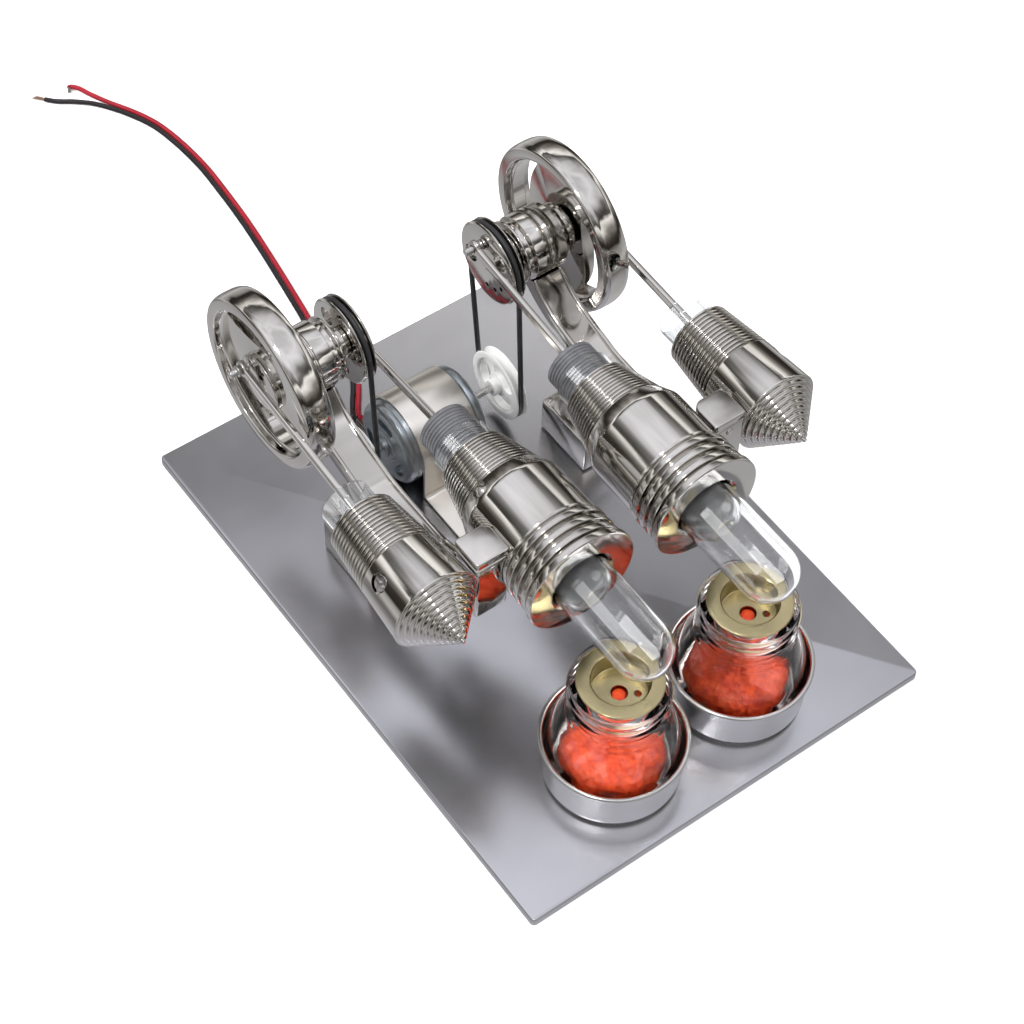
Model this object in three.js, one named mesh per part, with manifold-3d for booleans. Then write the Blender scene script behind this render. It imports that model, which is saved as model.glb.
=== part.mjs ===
import * as THREE from "three";
import { mergeVertices } from "three/addons/utils/BufferGeometryUtils.js";
import Module from "manifold-3d";

const wasm = await Module();
wasm.setup();

// ---- overall sizes, millimetres ----
const PLATE_WIDTH = 126.2;
const PLATE_LENGTH = 175;
const PLATE_THICKNESS = 3;
const PLATE_CORNER = 1.2;
const GAP = 0.3;
// how far a cutting tool runs past the face it opens
const CUT_PAST = 1;
// chamfer on the edges of turned rims
const RIM_EDGE = 0.9;

// crank axis and the cylinders that lie level with it
const AXLE_Y = 51.3;
const AXLE_Z = 62.2;
const CRANK_THROW = 5.8;
const ROUND = 16;
const FINE_ROUND = 18;
const RIM_ROUND = 32;
const HUB_ROUND = 24;
const SMALL_ROUND = 12;

// lateral layout of one engine, outward from the plate's middle line
const DISPLACER_X = 19.2;
const FRAME_X = 36.4;
const FRAME_WIDTH = 9.8;
const POWER_X = 52.6;

// flywheel
const FLYWHEEL_RADIUS = 24.7;
const FLYWHEEL_WIDTH = 8.3;
const FLYWHEEL_INNER_X = 42.2;
const FLYWHEEL_RIM = 4;
const WEB_WIDTH = 3.6;
const WEB_X = 44.4;
const HUB_RADIUS = 8.2;
const HUB_RECESS = 0.8;
const WINDOW_INNER = 11;
const WINDOW_SPAN = 2.1;
const WINDOW_TURN = 0.55;
const WINDOW_LIP = 0.8;
const WEB_JOIN = 0.5;
const BOSS_RADIUS = 6;
const THROW_HOLE_RADIUS = 0.8;
const THROW_HOLE_OFFSET = 3.4;
const THROW_HOLE_DEPTH = 4;
const THROW_HOLE_TURN = 0.9;

// crankshaft and its bearing
const SHAFT_RADIUS = 1.9;
const SHAFT_END_INSET = 0.6;
const BEARING_RADIUS = 5;
const HOUSING_RADIUS = 9.2;
const NECK_RADIUS = 8.4;
const NECK_LENGTH = 3;
const NECK_RING_RADIUS = 9;
const NECK_RING_LENGTH = 1;
const BEARING_LIP_RADIUS = 6.6;
const BEARING_LIP = 0.7;
const BEARING_INSET = 0.4;

// crank pulley, generator pulley and belt
const PULLEY_INNER_X = 21.5;
const PULLEY_WIDTH = 4.1;
const PULLEY_RADIUS = 12.2;
const PULLEY_HUB_RADIUS = 4.4;
const PULLEY_HUB_LENGTH = 1.6;
const PULLEY_WINDOW_RADIUS = 2.6;
const PULLEY_WINDOW_OFFSET = 7.4;
const PULLEY_WINDOW_TURN = 1.309;
const BELT_RADIUS = 0.75;
const GROOVE_DEPTH = 1.9;
const GROOVE_MOUTH = 1.3;
const GROOVE_FLOOR = 0.9;
const PULLEY_EDGE = 0.4;
const GENERATOR_PULLEY_RADIUS = 10.7;
const GENERATOR_PULLEY_WIDTH = 3.4;
const SPOKE_WINDOWS = 3;
const SPOKE_WINDOW_INNER = 3.6;
const SPOKE_WINDOW_OUTER = 7.4;
const SPOKE_WINDOW_SPAN = 1.5;
const SPOKE_HUB_RADIUS = 2.4;
const SPOKE_HUB_LENGTH = 1.6;

// generators and their strap
const MOTOR_Y = 46.4;
const MOTOR_RADIUS = 12.2;
const MOTOR_LIFT = 0.9;
const MOTOR_MIDDLE_X = -2;
const MOTOR_LENGTH = 12.8;
const MOTOR_BOSS_RADIUS = 3.1;
const MOTOR_BOSS_LENGTH = 1.4;
const MOTOR_EDGE = 1.1;
const MOTOR_SHAFT_RADIUS = 1;
const STRAP_WIDTH = 18.4;
const STRAP_THICKNESS = 0.8;
const STRAP_FOOT_FRONT = 17;
const STRAP_FOOT_REAR = 7;
const STRAP_SCREW_RADIUS = 2.1;
const STRAP_SCREW_HEIGHT = 1.3;
const SCREW_SLOT_HALF = 0.3;

// power cylinder
const POWER_REAR_Y = 0.5;
const POWER_FRONT_Y = -31;
const POWER_TIP_Y = -42.4;
const POWER_REAR_RADIUS = 9.3;
const POWER_FRONT_RADIUS = 12.2;
const POWER_FIN_LENGTH = 16.5;
const POWER_FINS = 9;
const FIN_DEPTH = 0.75;
// share of each fin's pitch where its flank starts and where its groove ends
const FIN_LAND = 0.15;
const FIN_ROOT = 0.85;
const POWER_SHOULDER_RADIUS = 11.04;
const NOSE_STEPS = 7;
const NOSE_TIP_RADIUS = 1;
const NOSE_STEP_LIP = 0.2;
// share of a step's length taken by its slightly leaning face
const STEP_FACE = 0.03;
const POWER_BORE = 7.1;
const POWER_BORE_DEPTH = 26;
const SLEEVE_RADIUS = 6.75;
const SLEEVE_WALL = 0.65;
const SLEEVE_END_Y = 8.4;
const POWER_ROD_LENGTH = 59;
const POWER_PISTON_LENGTH = 12;
const POWER_SLOT_HALF = 3.6;
const PLUG_RADIUS = 1.9;
const PLUG_Y = -20.5;
const PLUG_TURN = 0.6;
const PLUG_SEAT = 1.6;
const PLUG_SUNK = 1.4;
const PLUG_SLOT_DEPTH = 0.6;

// displacer cylinder
const DISPLACER_REAR_Y = 0.6;
const DISPLACER_FIN_LENGTH = 12.8;
const DISPLACER_SHOULDER_Y = -16.4;
const DISPLACER_FLANGE_Y = -32.5;
const DISPLACER_PLATE_Y = -41.6;
const DISPLACER_FRONT_Y = -44.4;
const DISPLACER_REAR_RADIUS = 9.6;
const DISPLACER_FIN_RADIUS = 12.7;
const DISPLACER_BARREL_RADIUS = 14.4;
const DISPLACER_RING_RADIUS = 15.1;
const DISPLACER_PLATE_RADIUS = 15.7;
const DISPLACER_FINS = 8;
const FLANGE_RINGS = 3;
const RING_ROOT_DEPTH = 1.1;
const RING_FLANK = 0.3;
const RING_END = 0.8;
const GUIDE_SLEEVE_RADIUS = 8;
const GUIDE_SLEEVE_WALL = 0.6;
const GUIDE_SLEEVE_END_Y = 6.5;
const GUIDE_SLEEVE_DEPTH = 12;
const GUIDE_PISTON_LENGTH = 16;
const GUIDE_PISTON_BEHIND_WRIST = 4.5;
const GUIDE_SLOT_HALF = 4.4;
const DISPLACER_ROD_LENGTH = 47;
const STEM_RADIUS = 1.1;
const TUBE_RADIUS = 8;
const TUBE_WALL = 0.7;
const TUBE_TIP_Y = -75.8;
const TUBE_DEPTH = 17;
const CAPSULE_RADIUS = 6.6;
const CAPSULE_LENGTH = 32;
const CAPSULE_REACH = 106.3;
const CAPSULE_EDGE = 1;
const CHAMBER_CLEARANCE = 0.9;

// connecting rods
const ROD_WIDTH = 1.6;
const ROD_HEIGHT = 2.6;
const ROD_EYE_RADIUS = 2.2;
const ROD_PIN_RADIUS = 1;
const POWER_PIN_LENGTH = 5.6;
const DISPLACER_PIN_LENGTH = 5;
const POWER_ROD_GAP = 1.1;
const PULLEY_ROD_GAP = 1.2;
const WRIST_PIN_RADIUS = 1;
const FORK_SLOT = 2.8;
const FORK_CLEARANCE = 0.8;

// frame, stand and transfer block
const STRIP_DROP = 18;
const STRIP_TOP_Z = AXLE_Z - STRIP_DROP;
const STRIP_THICKNESS = 3.6;
const RIM_WIDTH = 1.3;
const RIM_HEIGHT = 0.9;
const BLOCK_Y = -26.6;
const BLOCK_SIZE = 9.6;
const BLOCK_RISE = 8.8;
const BLOCK_DROP = 13.2;
const BLOCK_TOP_Z = AXLE_Z + BLOCK_RISE;
const BLOCK_BOTTOM_Z = AXLE_Z - BLOCK_DROP;
const STRIP_FRONT_Y = -22.5;
const STRIP_FRONT_RISE = 5;
const STAND_WIDTH = 12.2;
const STAND_REAR_Y = 35.8;
const STAND_LENGTH = 20;
const STAND_TOP_Z = 14.7;
const POST_WIDTH = 7;
const POST_LENGTH = 9;
const POST_REAR_Y = 27.3;
const POST_SUNK = 2;
const BLOCK_GROOVE_DROP = 2.2;
const BLOCK_GROOVE_HEIGHT = 0.5;
const BLOCK_GROOVE_DEPTH = 0.5;
const BLOCK_BARREL_GAP = 0.5;

// burners
const BURNER_X = 20.4;
const BURNER_Y = -63;
const TRAY_RADIUS = 19.4;
const TRAY_BASE_RADIUS = 18.2;
const TRAY_HEIGHT = 14.6;
const TRAY_WALL = 0.9;
const JAR_RADIUS = 17.2;
const JAR_NECK_RADIUS = 13.2;
const JAR_SHOULDER_Z = 19;
const JAR_NECK_Z = 29;
const JAR_TOP_Z = 42.4;
const JAR_WALL = 1.2;
const JAR_FOOT_EDGE = 1.5;
const NECK_RIBS = 3;
const NECK_RIB_PITCH = 4;
const NECK_RIB_DEPTH = 0.7;
const CUP_RADIUS = 11.1;
const CUP_TOP_Z = 43.4;
const CUP_RECESS_RADIUS = 7.3;
const CUP_RECESS_DEPTH = 6;
const CUP_LENGTH = 9;
const WICK_HOLE_RADIUS = 2.2;
const VENT_RADIUS = 1;
const VENT_X = 3.6;
const VENT_Y = -2.8;
const CUP_SEAT = 1.2;
const TRAY_EDGE = 0.8;
const FILL_TOP_Z = 27;

// supply wires
const WIRE_RADIUS = 0.75;
const WIRE_CURVE_SEGMENTS = 4;
const WIRE_STEPS = 52;
const WIRE_SPACING = 1.64;

// crank angle of each engine's power pin at rest, radians from the rear level line
const POWER_ANGLE = { left: Math.PI / 3, right: (Math.PI * 5) / 6 };
const DISPLACER_LAG = Math.PI / 2;

const FINISH = {
  nickel: { color: 0xcfcac4, roughness: 0.12, metalness: 1 },
  steel: { color: 0xb6b6be, roughness: 0.32, metalness: 1 },
  brass: { color: 0xb5a46a, roughness: 0.3, metalness: 1 },
  motor: { color: 0x8a949b, roughness: 0.4, metalness: 0.8 },
  glass: { color: 0xe8ecf0, roughness: 0.04, metalness: 0 },
  graphite: { color: 0x4a4c50, roughness: 0.45, metalness: 0.2 },
  plastic: { color: 0xdcdcd6, roughness: 0.4, metalness: 0 },
  rubber: { color: 0x17181a, roughness: 0.7, metalness: 0 },
  filling: { color: 0xc8401c, roughness: 0.5, metalness: 0 },
  red_wire: { color: 0xa82a3c, roughness: 0.45, metalness: 0 },
  black_wire: { color: 0x241c20, roughness: 0.45, metalness: 0 },
};

const root = new THREE.Group();
root.name = "stirling_engine_model";

function tidy(source) {
  const bare = new THREE.BufferGeometry();
  bare.setAttribute("position", source.getAttribute("position").clone());
  if (source.index) {
    bare.setIndex(source.index.clone());
  }
  const merged = mergeVertices(bare, 1e-4);
  const kept = [];
  const index = merged.index.array;
  for (let i = 0; i < index.length; i += 3) {
    const [a, b, c] = [index[i], index[i + 1], index[i + 2]];
    if (a !== b && b !== c && a !== c) {
      kept.push(a, b, c);
    }
  }
  merged.setIndex(kept);
  if (signedVolume(merged) < 0) {
    for (let i = 0; i < kept.length; i += 3) {
      [kept[i + 1], kept[i + 2]] = [kept[i + 2], kept[i + 1]];
    }
    merged.setIndex(kept);
  }
  return merged;
}

function signedVolume(geometry) {
  const p = geometry.getAttribute("position");
  const index = geometry.index.array;
  const corners = [new THREE.Vector3(), new THREE.Vector3(), new THREE.Vector3()];
  let total = 0;
  for (let i = 0; i < index.length; i += 3) {
    corners.forEach((corner, k) => corner.fromBufferAttribute(p, index[i + k]));
    total += corners[0].dot(corners[1].clone().cross(corners[2]));
  }
  return total / 6;
}

function toManifold(geometry) {
  const solid = tidy(geometry);
  const mesh = new wasm.Mesh({
    numProp: 3,
    vertProperties: new Float32Array(solid.getAttribute("position").array),
    triVerts: new Uint32Array(solid.index.array),
  });
  return new wasm.Manifold(mesh);
}

function fromManifold(manifold) {
  const mesh = manifold.getMesh();
  const geometry = new THREE.BufferGeometry();
  const positions = new THREE.BufferAttribute(new Float32Array(mesh.vertProperties), 3);
  geometry.setAttribute("position", positions);
  geometry.setIndex(Array.from(mesh.triVerts));
  return geometry;
}

function join(...pieces) {
  return fromManifold(pieces.map(toManifold).reduce((a, b) => a.add(b)));
}

function cut(base, ...tools) {
  return fromManifold(tools.map(toManifold).reduce((a, b) => a.subtract(b), toManifold(base)));
}

function add(name, geometry, finish) {
  const material = new THREE.MeshStandardMaterial(FINISH[finish]);
  const mesh = new THREE.Mesh(tidy(geometry), material);
  mesh.name = name;
  root.add(mesh);
}

function turned(profile, axis, segments = ROUND) {
  const points = profile.map(([r, h]) => new THREE.Vector2(r, h));
  const geometry = new THREE.LatheGeometry(points, segments);
  if (axis === "x") {
    geometry.rotateZ(-Math.PI / 2);
  }
  if (axis === "z") {
    geometry.rotateX(Math.PI / 2);
  }
  return geometry;
}

function rod(radius, from, to, axis, segments = ROUND) {
  return turned([[0, from], [radius, from], [radius, to], [0, to]], axis, segments);
}

function tube(outer, inner, from, to, axis, segments = ROUND) {
  return turned(
    [[inner, from], [outer, from], [outer, to], [inner, to], [inner, from]],
    axis,
    segments,
  );
}

function box(x0, x1, y0, y1, z0, z1) {
  const geometry = new THREE.BoxGeometry(x1 - x0, y1 - y0, z1 - z0);
  return geometry.translate((x0 + x1) / 2, (y0 + y1) / 2, (z0 + z1) / 2);
}

function kidney(inner, outer, middle, span, steps) {
  const shape = [];
  for (let i = 0; i <= steps; i += 1) {
    const a = middle - span / 2 + (span * i) / steps;
    shape.push(new THREE.Vector2(outer * Math.cos(a), outer * Math.sin(a)));
  }
  for (let i = steps; i >= 0; i -= 1) {
    const a = middle - span / 2 + (span * i) / steps;
    shape.push(new THREE.Vector2(inner * Math.cos(a), inner * Math.sin(a)));
  }
  return new THREE.Shape(shape);
}

// extrudes a (y, z) outline along +X from x0 to x1
function sideExtrude(shape, x0, x1) {
  const geometry = new THREE.ExtrudeGeometry(shape, {
    depth: x1 - x0,
    bevelEnabled: false,
    curveSegments: 10,
  });
  const axes = new THREE.Matrix4().makeBasis(
    new THREE.Vector3(0, 1, 0),
    new THREE.Vector3(0, 0, 1),
    new THREE.Vector3(1, 0, 0),
  );
  return geometry.applyMatrix4(axes).translate(x0, 0, 0);
}

function outline(points) {
  return new THREE.Shape(points.map(([a, b]) => new THREE.Vector2(a, b)));
}

function finnedProfile(rear, rearRadius, frontRadius, finLength, fins) {
  const slope = (frontRadius - rearRadius) / finLength;
  const pitch = finLength / fins;
  const points = [[0, rear]];
  for (let i = 0; i < fins; i += 1) {
    const y = rear - i * pitch;
    const radius = rearRadius + slope * i * pitch;
    points.push([radius, y - pitch * FIN_LAND]);
    points.push([radius - FIN_DEPTH, y - pitch * FIN_ROOT]);
  }
  points.push([frontRadius, rear - finLength]);
  return points;
}

// ---- shared pieces ----
const halfWidth = PLATE_WIDTH / 2;
const halfLength = PLATE_LENGTH / 2;
const plateShape = new THREE.Shape();
plateShape.moveTo(-halfWidth + PLATE_CORNER, -halfLength);
plateShape.lineTo(halfWidth - PLATE_CORNER, -halfLength);
plateShape.quadraticCurveTo(halfWidth, -halfLength, halfWidth, -halfLength + PLATE_CORNER);
plateShape.lineTo(halfWidth, halfLength - PLATE_CORNER);
plateShape.quadraticCurveTo(halfWidth, halfLength, halfWidth - PLATE_CORNER, halfLength);
plateShape.lineTo(-halfWidth + PLATE_CORNER, halfLength);
plateShape.quadraticCurveTo(-halfWidth, halfLength, -halfWidth, halfLength - PLATE_CORNER);
plateShape.lineTo(-halfWidth, -halfLength + PLATE_CORNER);
plateShape.quadraticCurveTo(-halfWidth, -halfLength, -halfWidth + PLATE_CORNER, -halfLength);
add(
  "base_plate",
  new THREE.ExtrudeGeometry(plateShape, {
    depth: PLATE_THICKNESS,
    bevelEnabled: false,
    curveSegments: 3,
  }),
  "steel",
);

const motorZ = PLATE_THICKNESS + MOTOR_LIFT + MOTOR_RADIUS;
const strapInner = MOTOR_RADIUS + GAP;
const strapOuter = strapInner + STRAP_THICKNESS;
const plateTop = PLATE_THICKNESS + GAP;
const strapX0 = MOTOR_MIDDLE_X - STRAP_WIDTH / 2;
const strapX1 = MOTOR_MIDDLE_X + STRAP_WIDTH / 2;

function strapShape() {
  const shape = new THREE.Shape();
  const footFront = MOTOR_Y - strapOuter - STRAP_FOOT_FRONT;
  const footRear = MOTOR_Y + strapOuter + STRAP_FOOT_REAR;
  const footTop = plateTop + STRAP_THICKNESS;
  shape.moveTo(footFront, plateTop);
  shape.lineTo(MOTOR_Y - strapInner, plateTop);
  shape.lineTo(MOTOR_Y - strapInner, motorZ);
  shape.absarc(MOTOR_Y, motorZ, strapInner, Math.PI, 0, true);
  shape.lineTo(MOTOR_Y + strapInner, plateTop);
  shape.lineTo(footRear, plateTop);
  shape.lineTo(footRear, footTop);
  shape.lineTo(MOTOR_Y + strapOuter, footTop);
  shape.lineTo(MOTOR_Y + strapOuter, motorZ);
  shape.absarc(MOTOR_Y, motorZ, strapOuter, 0, Math.PI, false);
  shape.lineTo(MOTOR_Y - strapOuter, footTop);
  shape.lineTo(footFront, footTop);
  return shape;
}
add("motor_strap", sideExtrude(strapShape(), strapX0, strapX1), "nickel");

function strapScrew(name, y) {
  const base = plateTop + STRAP_THICKNESS + GAP;
  const head = rod(STRAP_SCREW_RADIUS, base, base + STRAP_SCREW_HEIGHT, "z");
  const slot = box(
    -STRAP_SCREW_RADIUS - GAP,
    STRAP_SCREW_RADIUS + GAP,
    -SCREW_SLOT_HALF,
    SCREW_SLOT_HALF,
    base + STRAP_SCREW_HEIGHT / 2,
    base + STRAP_SCREW_HEIGHT + GAP,
  );
  add(name, cut(head, slot).translate(MOTOR_MIDDLE_X, y, 0), "nickel");
}
strapScrew("strap_screw_front", MOTOR_Y - strapOuter - STRAP_FOOT_FRONT / 2);
strapScrew("strap_screw_rear", MOTOR_Y + strapOuter + STRAP_FOOT_REAR / 2);

// ---- supply wires ----
const plateWireZ = PLATE_THICKNESS + WIRE_RADIUS + GAP;
const tableWireZ = WIRE_RADIUS + GAP / 2;
const plateRear = PLATE_LENGTH / 2;
const WIRE_ROUTE = [
  [-13, 63.4, 9.5],
  [-11.5, 66.5, 6],
  [-8.4, 71.5, plateWireZ],
  [-4.2, plateRear - 10, plateWireZ],
  [-1.2, plateRear - 4, plateWireZ],
  [-0.1, plateRear + 2.2, plateWireZ],
  [-0.5, plateRear + 6.1, 3.6],
  [-1.4, plateRear + 11.5, 1.4],
  [-1.5, plateRear + 18, tableWireZ],
  [-0.6, plateRear + 24.1, tableWireZ],
  [1, plateRear + 34.4, tableWireZ],
  [3, plateRear + 48.3, tableWireZ],
  [4.8, plateRear + 62.7, tableWireZ],
  [6, plateRear + 77.9, tableWireZ],
  [6.5, plateRear + 89.8, tableWireZ],
  [5.7, plateRear + 102.7, tableWireZ],
  [4.1, plateRear + 112.1, tableWireZ],
];
const RED_TAIL = [
  [3.1, plateRear + 117.7, tableWireZ],
  [0.4, plateRear + 123.5, tableWireZ],
  [-3, plateRear + 129.7, tableWireZ],
  [-5.9, plateRear + 136, tableWireZ],
  [-7.9, plateRear + 140.9, tableWireZ],
  [-9.6, plateRear + 142.3, tableWireZ],
  [-10.9, plateRear + 140.1, tableWireZ],
];
const BLACK_TAIL = [
  [1.5, plateRear + 117.2, tableWireZ],
  [-1.9, plateRear + 124.1, tableWireZ],
  [-6.9, plateRear + 131.5, tableWireZ],
  [-11.4, plateRear + 135.8, tableWireZ],
  [-16.4, plateRear + 139.5, tableWireZ],
  [-21.5, plateRear + 145.7, tableWireZ],
];

function wire(name, side, tail, finish) {
  const route = new THREE.CatmullRomCurve3(
    WIRE_ROUTE.map(([x, y, z]) => new THREE.Vector3(x, y, z)),
  );
  const points = WIRE_ROUTE.map(([x, y, z], i) => {
    const along = route.getTangent(i / (WIRE_ROUTE.length - 1));
    const across = new THREE.Vector3(along.y, -along.x, 0).normalize();
    return new THREE.Vector3(x, y, z).addScaledVector(across, (side * WIRE_SPACING) / 2);
  });
  tail.forEach(([x, y, z]) => points.push(new THREE.Vector3(x, y, z)));
  const section = new THREE.Shape();
  section.absarc(0, 0, WIRE_RADIUS, 0, Math.PI * 2, false);
  const geometry = new THREE.ExtrudeGeometry(section, {
    steps: WIRE_STEPS,
    curveSegments: WIRE_CURVE_SEGMENTS,
    extrudePath: new THREE.CatmullRomCurve3(points),
  });
  add(name, geometry, finish);
}
wire("wire_red", 1, RED_TAIL, "red_wire");
wire("wire_black", -1, BLACK_TAIL, "black_wire");

// ---- one engine, built for the right side; sign mirrors it to the left ----
function placed(geometry, sign) {
  if (sign > 0) {
    return geometry;
  }
  const solid = tidy(geometry).scale(-1, 1, 1);
  return tidy(solid);
}

function frame() {
  const x0 = FRAME_X - FRAME_WIDTH / 2;
  const x1 = FRAME_X + FRAME_WIDTH / 2;
  const top = STRIP_TOP_Z;
  const spine = [
    [STRIP_FRONT_Y, top + STRIP_FRONT_RISE],
    [-13, top + 3.2],
    [-5, top + 0.5],
    [2, top],
    [18, top],
    [AXLE_Y - 29.3, top + 0.9],
    [AXLE_Y - 14.3, top + 5.4],
    [AXLE_Y - 7.3, top + 11],
  ];
  const under = [
    [AXLE_Y - 1.3, top + 9],
    [AXLE_Y - 11.3, top + 2.6],
    [AXLE_Y - 27.3, top - 2.2],
    [18, top - STRIP_THICKNESS],
    [0, top - STRIP_THICKNESS],
    [-12, top - 0.6],
    [STRIP_FRONT_Y, top + 1],
  ];
  const strip = sideExtrude(outline([...spine, ...under]), x0, x1);
  const raised = spine.map(([y, z]) => [y, z + RIM_HEIGHT]);
  const lowered = [...spine].reverse().map(([y, z]) => [y, z - RIM_HEIGHT]);
  const rim = outline([...raised, ...lowered]);
  const rims = [
    sideExtrude(rim, x0, x0 + RIM_WIDTH),
    sideExtrude(rim, x1 - RIM_WIDTH, x1),
  ];
  const housing = turned(
    [
      [0, x0 - NECK_LENGTH],
      [NECK_RING_RADIUS, x0 - NECK_LENGTH],
      [NECK_RING_RADIUS, x0 - NECK_LENGTH + NECK_RING_LENGTH],
      [NECK_RADIUS - 1, x0 - NECK_LENGTH + NECK_RING_LENGTH],
      [NECK_RADIUS - 1, x0],
      [HOUSING_RADIUS, x0],
      [HOUSING_RADIUS, x1],
      [0, x1],
    ],
    "x",
  ).translate(0, AXLE_Y, AXLE_Z);
  const bore = rod(BEARING_RADIUS + GAP, x0 - NECK_LENGTH - CUT_PAST, x1 + CUT_PAST, "x").translate(
    0,
    AXLE_Y,
    AXLE_Z,
  );
  return cut(join(strip, ...rims, housing), bore);
}

function bearing() {
  const x0 = FRAME_X - FRAME_WIDTH / 2 - NECK_LENGTH - GAP;
  const x1 = FRAME_X + FRAME_WIDTH / 2 - BEARING_INSET;
  const inner = SHAFT_RADIUS + GAP;
  return turned(
    [
      [inner, x0 - BEARING_LIP],
      [BEARING_LIP_RADIUS, x0 - BEARING_LIP],
      [BEARING_LIP_RADIUS, x0],
      [BEARING_RADIUS, x0],
      [BEARING_RADIUS, x1],
      [inner, x1],
      [inner, x0 - BEARING_LIP],
    ],
    "x",
  ).translate(0, AXLE_Y, AXLE_Z);
}

function crankshaft() {
  return rod(
    SHAFT_RADIUS,
    PULLEY_INNER_X + SHAFT_END_INSET,
    FLYWHEEL_INNER_X + FLYWHEEL_WIDTH - SHAFT_END_INSET - HUB_RECESS,
    "x",
  ).translate(0, AXLE_Y, AXLE_Z);
}

function flywheel(angle) {
  const x0 = FLYWHEEL_INNER_X;
  const x1 = x0 + FLYWHEEL_WIDTH;
  const rimInner = FLYWHEEL_RADIUS - FLYWHEEL_RIM;
  const rim = turned(
    [
      [rimInner, x0],
      [FLYWHEEL_RADIUS - RIM_EDGE, x0],
      [FLYWHEEL_RADIUS, x0 + RIM_EDGE],
      [FLYWHEEL_RADIUS, x1 - RIM_EDGE],
      [FLYWHEEL_RADIUS - RIM_EDGE, x1],
      [rimInner, x1],
      [rimInner, x0],
    ],
    "x",
    RIM_ROUND,
  );
  const web = rod(rimInner + WEB_JOIN, WEB_X, WEB_X + WEB_WIDTH, "x", RIM_ROUND);
  const windows = [0, Math.PI].map((turn) =>
    sideExtrude(
      kidney(WINDOW_INNER, rimInner - WINDOW_LIP, angle + WINDOW_TURN + turn, WINDOW_SPAN, 8),
      WEB_X - CUT_PAST,
      WEB_X + WEB_WIDTH + CUT_PAST,
    ),
  );
  const hub = rod(HUB_RADIUS, WEB_X, x1 - HUB_RECESS, "x", HUB_ROUND);
  const boss = rod(BOSS_RADIUS, x0, WEB_X + WEB_JOIN, "x", HUB_ROUND);
  const bore = rod(SHAFT_RADIUS + GAP, x0 - CUT_PAST, x1 + CUT_PAST, "x");
  const holeTurn = angle + THROW_HOLE_TURN;
  const holes = [-1, 1].map((side) =>
    rod(THROW_HOLE_RADIUS, x1 - THROW_HOLE_DEPTH, x1 + CUT_PAST, "x", SMALL_ROUND).translate(
      0,
      THROW_HOLE_OFFSET * side * Math.cos(holeTurn),
      THROW_HOLE_OFFSET * side * Math.sin(holeTurn),
    ),
  );
  const solid = cut(join(rim, cut(web, ...windows), hub, boss), bore, ...holes);
  return solid.translate(0, AXLE_Y, AXLE_Z);
}

function crankPulley(angle) {
  const x0 = PULLEY_INNER_X;
  const x1 = x0 + PULLEY_WIDTH;
  const mid = (x0 + x1) / 2;
  const floor = PULLEY_RADIUS - GROOVE_DEPTH;
  const hubEnd = x1 + PULLEY_HUB_LENGTH;
  const disc = turned(
    [
      [0, x0],
      [PULLEY_RADIUS - PULLEY_EDGE, x0],
      [PULLEY_RADIUS, x0 + PULLEY_EDGE],
      [PULLEY_RADIUS, mid - GROOVE_MOUTH],
      [floor, mid - GROOVE_FLOOR],
      [floor, mid + GROOVE_FLOOR],
      [PULLEY_RADIUS, mid + GROOVE_MOUTH],
      [PULLEY_RADIUS, x1 - PULLEY_EDGE],
      [PULLEY_RADIUS - PULLEY_EDGE, x1],
      [PULLEY_HUB_RADIUS, x1],
      [PULLEY_HUB_RADIUS, hubEnd],
      [0, hubEnd],
    ],
    "x",
    FINE_ROUND,
  );
  const windows = [PULLEY_WINDOW_TURN, -PULLEY_WINDOW_TURN].map((turn) =>
    rod(PULLEY_WINDOW_RADIUS, x0 - CUT_PAST, x1 + CUT_PAST, "x", SMALL_ROUND).translate(
      0,
      PULLEY_WINDOW_OFFSET * Math.cos(angle + turn),
      PULLEY_WINDOW_OFFSET * Math.sin(angle + turn),
    ),
  );
  const bore = rod(SHAFT_RADIUS + GAP, x0 - CUT_PAST, hubEnd + CUT_PAST, "x");
  return cut(disc, ...windows, bore).translate(0, AXLE_Y, AXLE_Z);
}

function connectingRod(x0, pin, wrist) {
  const along = new THREE.Vector2(pin[0] - wrist[0], pin[1] - wrist[1]);
  const length = along.length();
  const half = ROD_HEIGHT / 2;
  const bar = sideExtrude(
    outline([
      [0, -half],
      [length, -half],
      [length, half],
      [0, half],
    ]),
    0,
    ROD_WIDTH,
  );
  const eye = rod(ROD_EYE_RADIUS, 0, ROD_WIDTH, "x");
  const pinBore = rod(ROD_PIN_RADIUS + GAP, -CUT_PAST, ROD_WIDTH + CUT_PAST, "x", SMALL_ROUND);
  const wristBore = rod(
    WRIST_PIN_RADIUS + GAP,
    -CUT_PAST,
    ROD_WIDTH + CUT_PAST,
    "x",
    SMALL_ROUND,
  );
  const solid = cut(
    join(bar, eye.clone().translate(0, length, 0), eye),
    pinBore.translate(0, length, 0),
    wristBore,
  );
  return solid.rotateX(Math.atan2(along.y, along.x)).translate(x0, wrist[0], wrist[1]);
}

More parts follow.
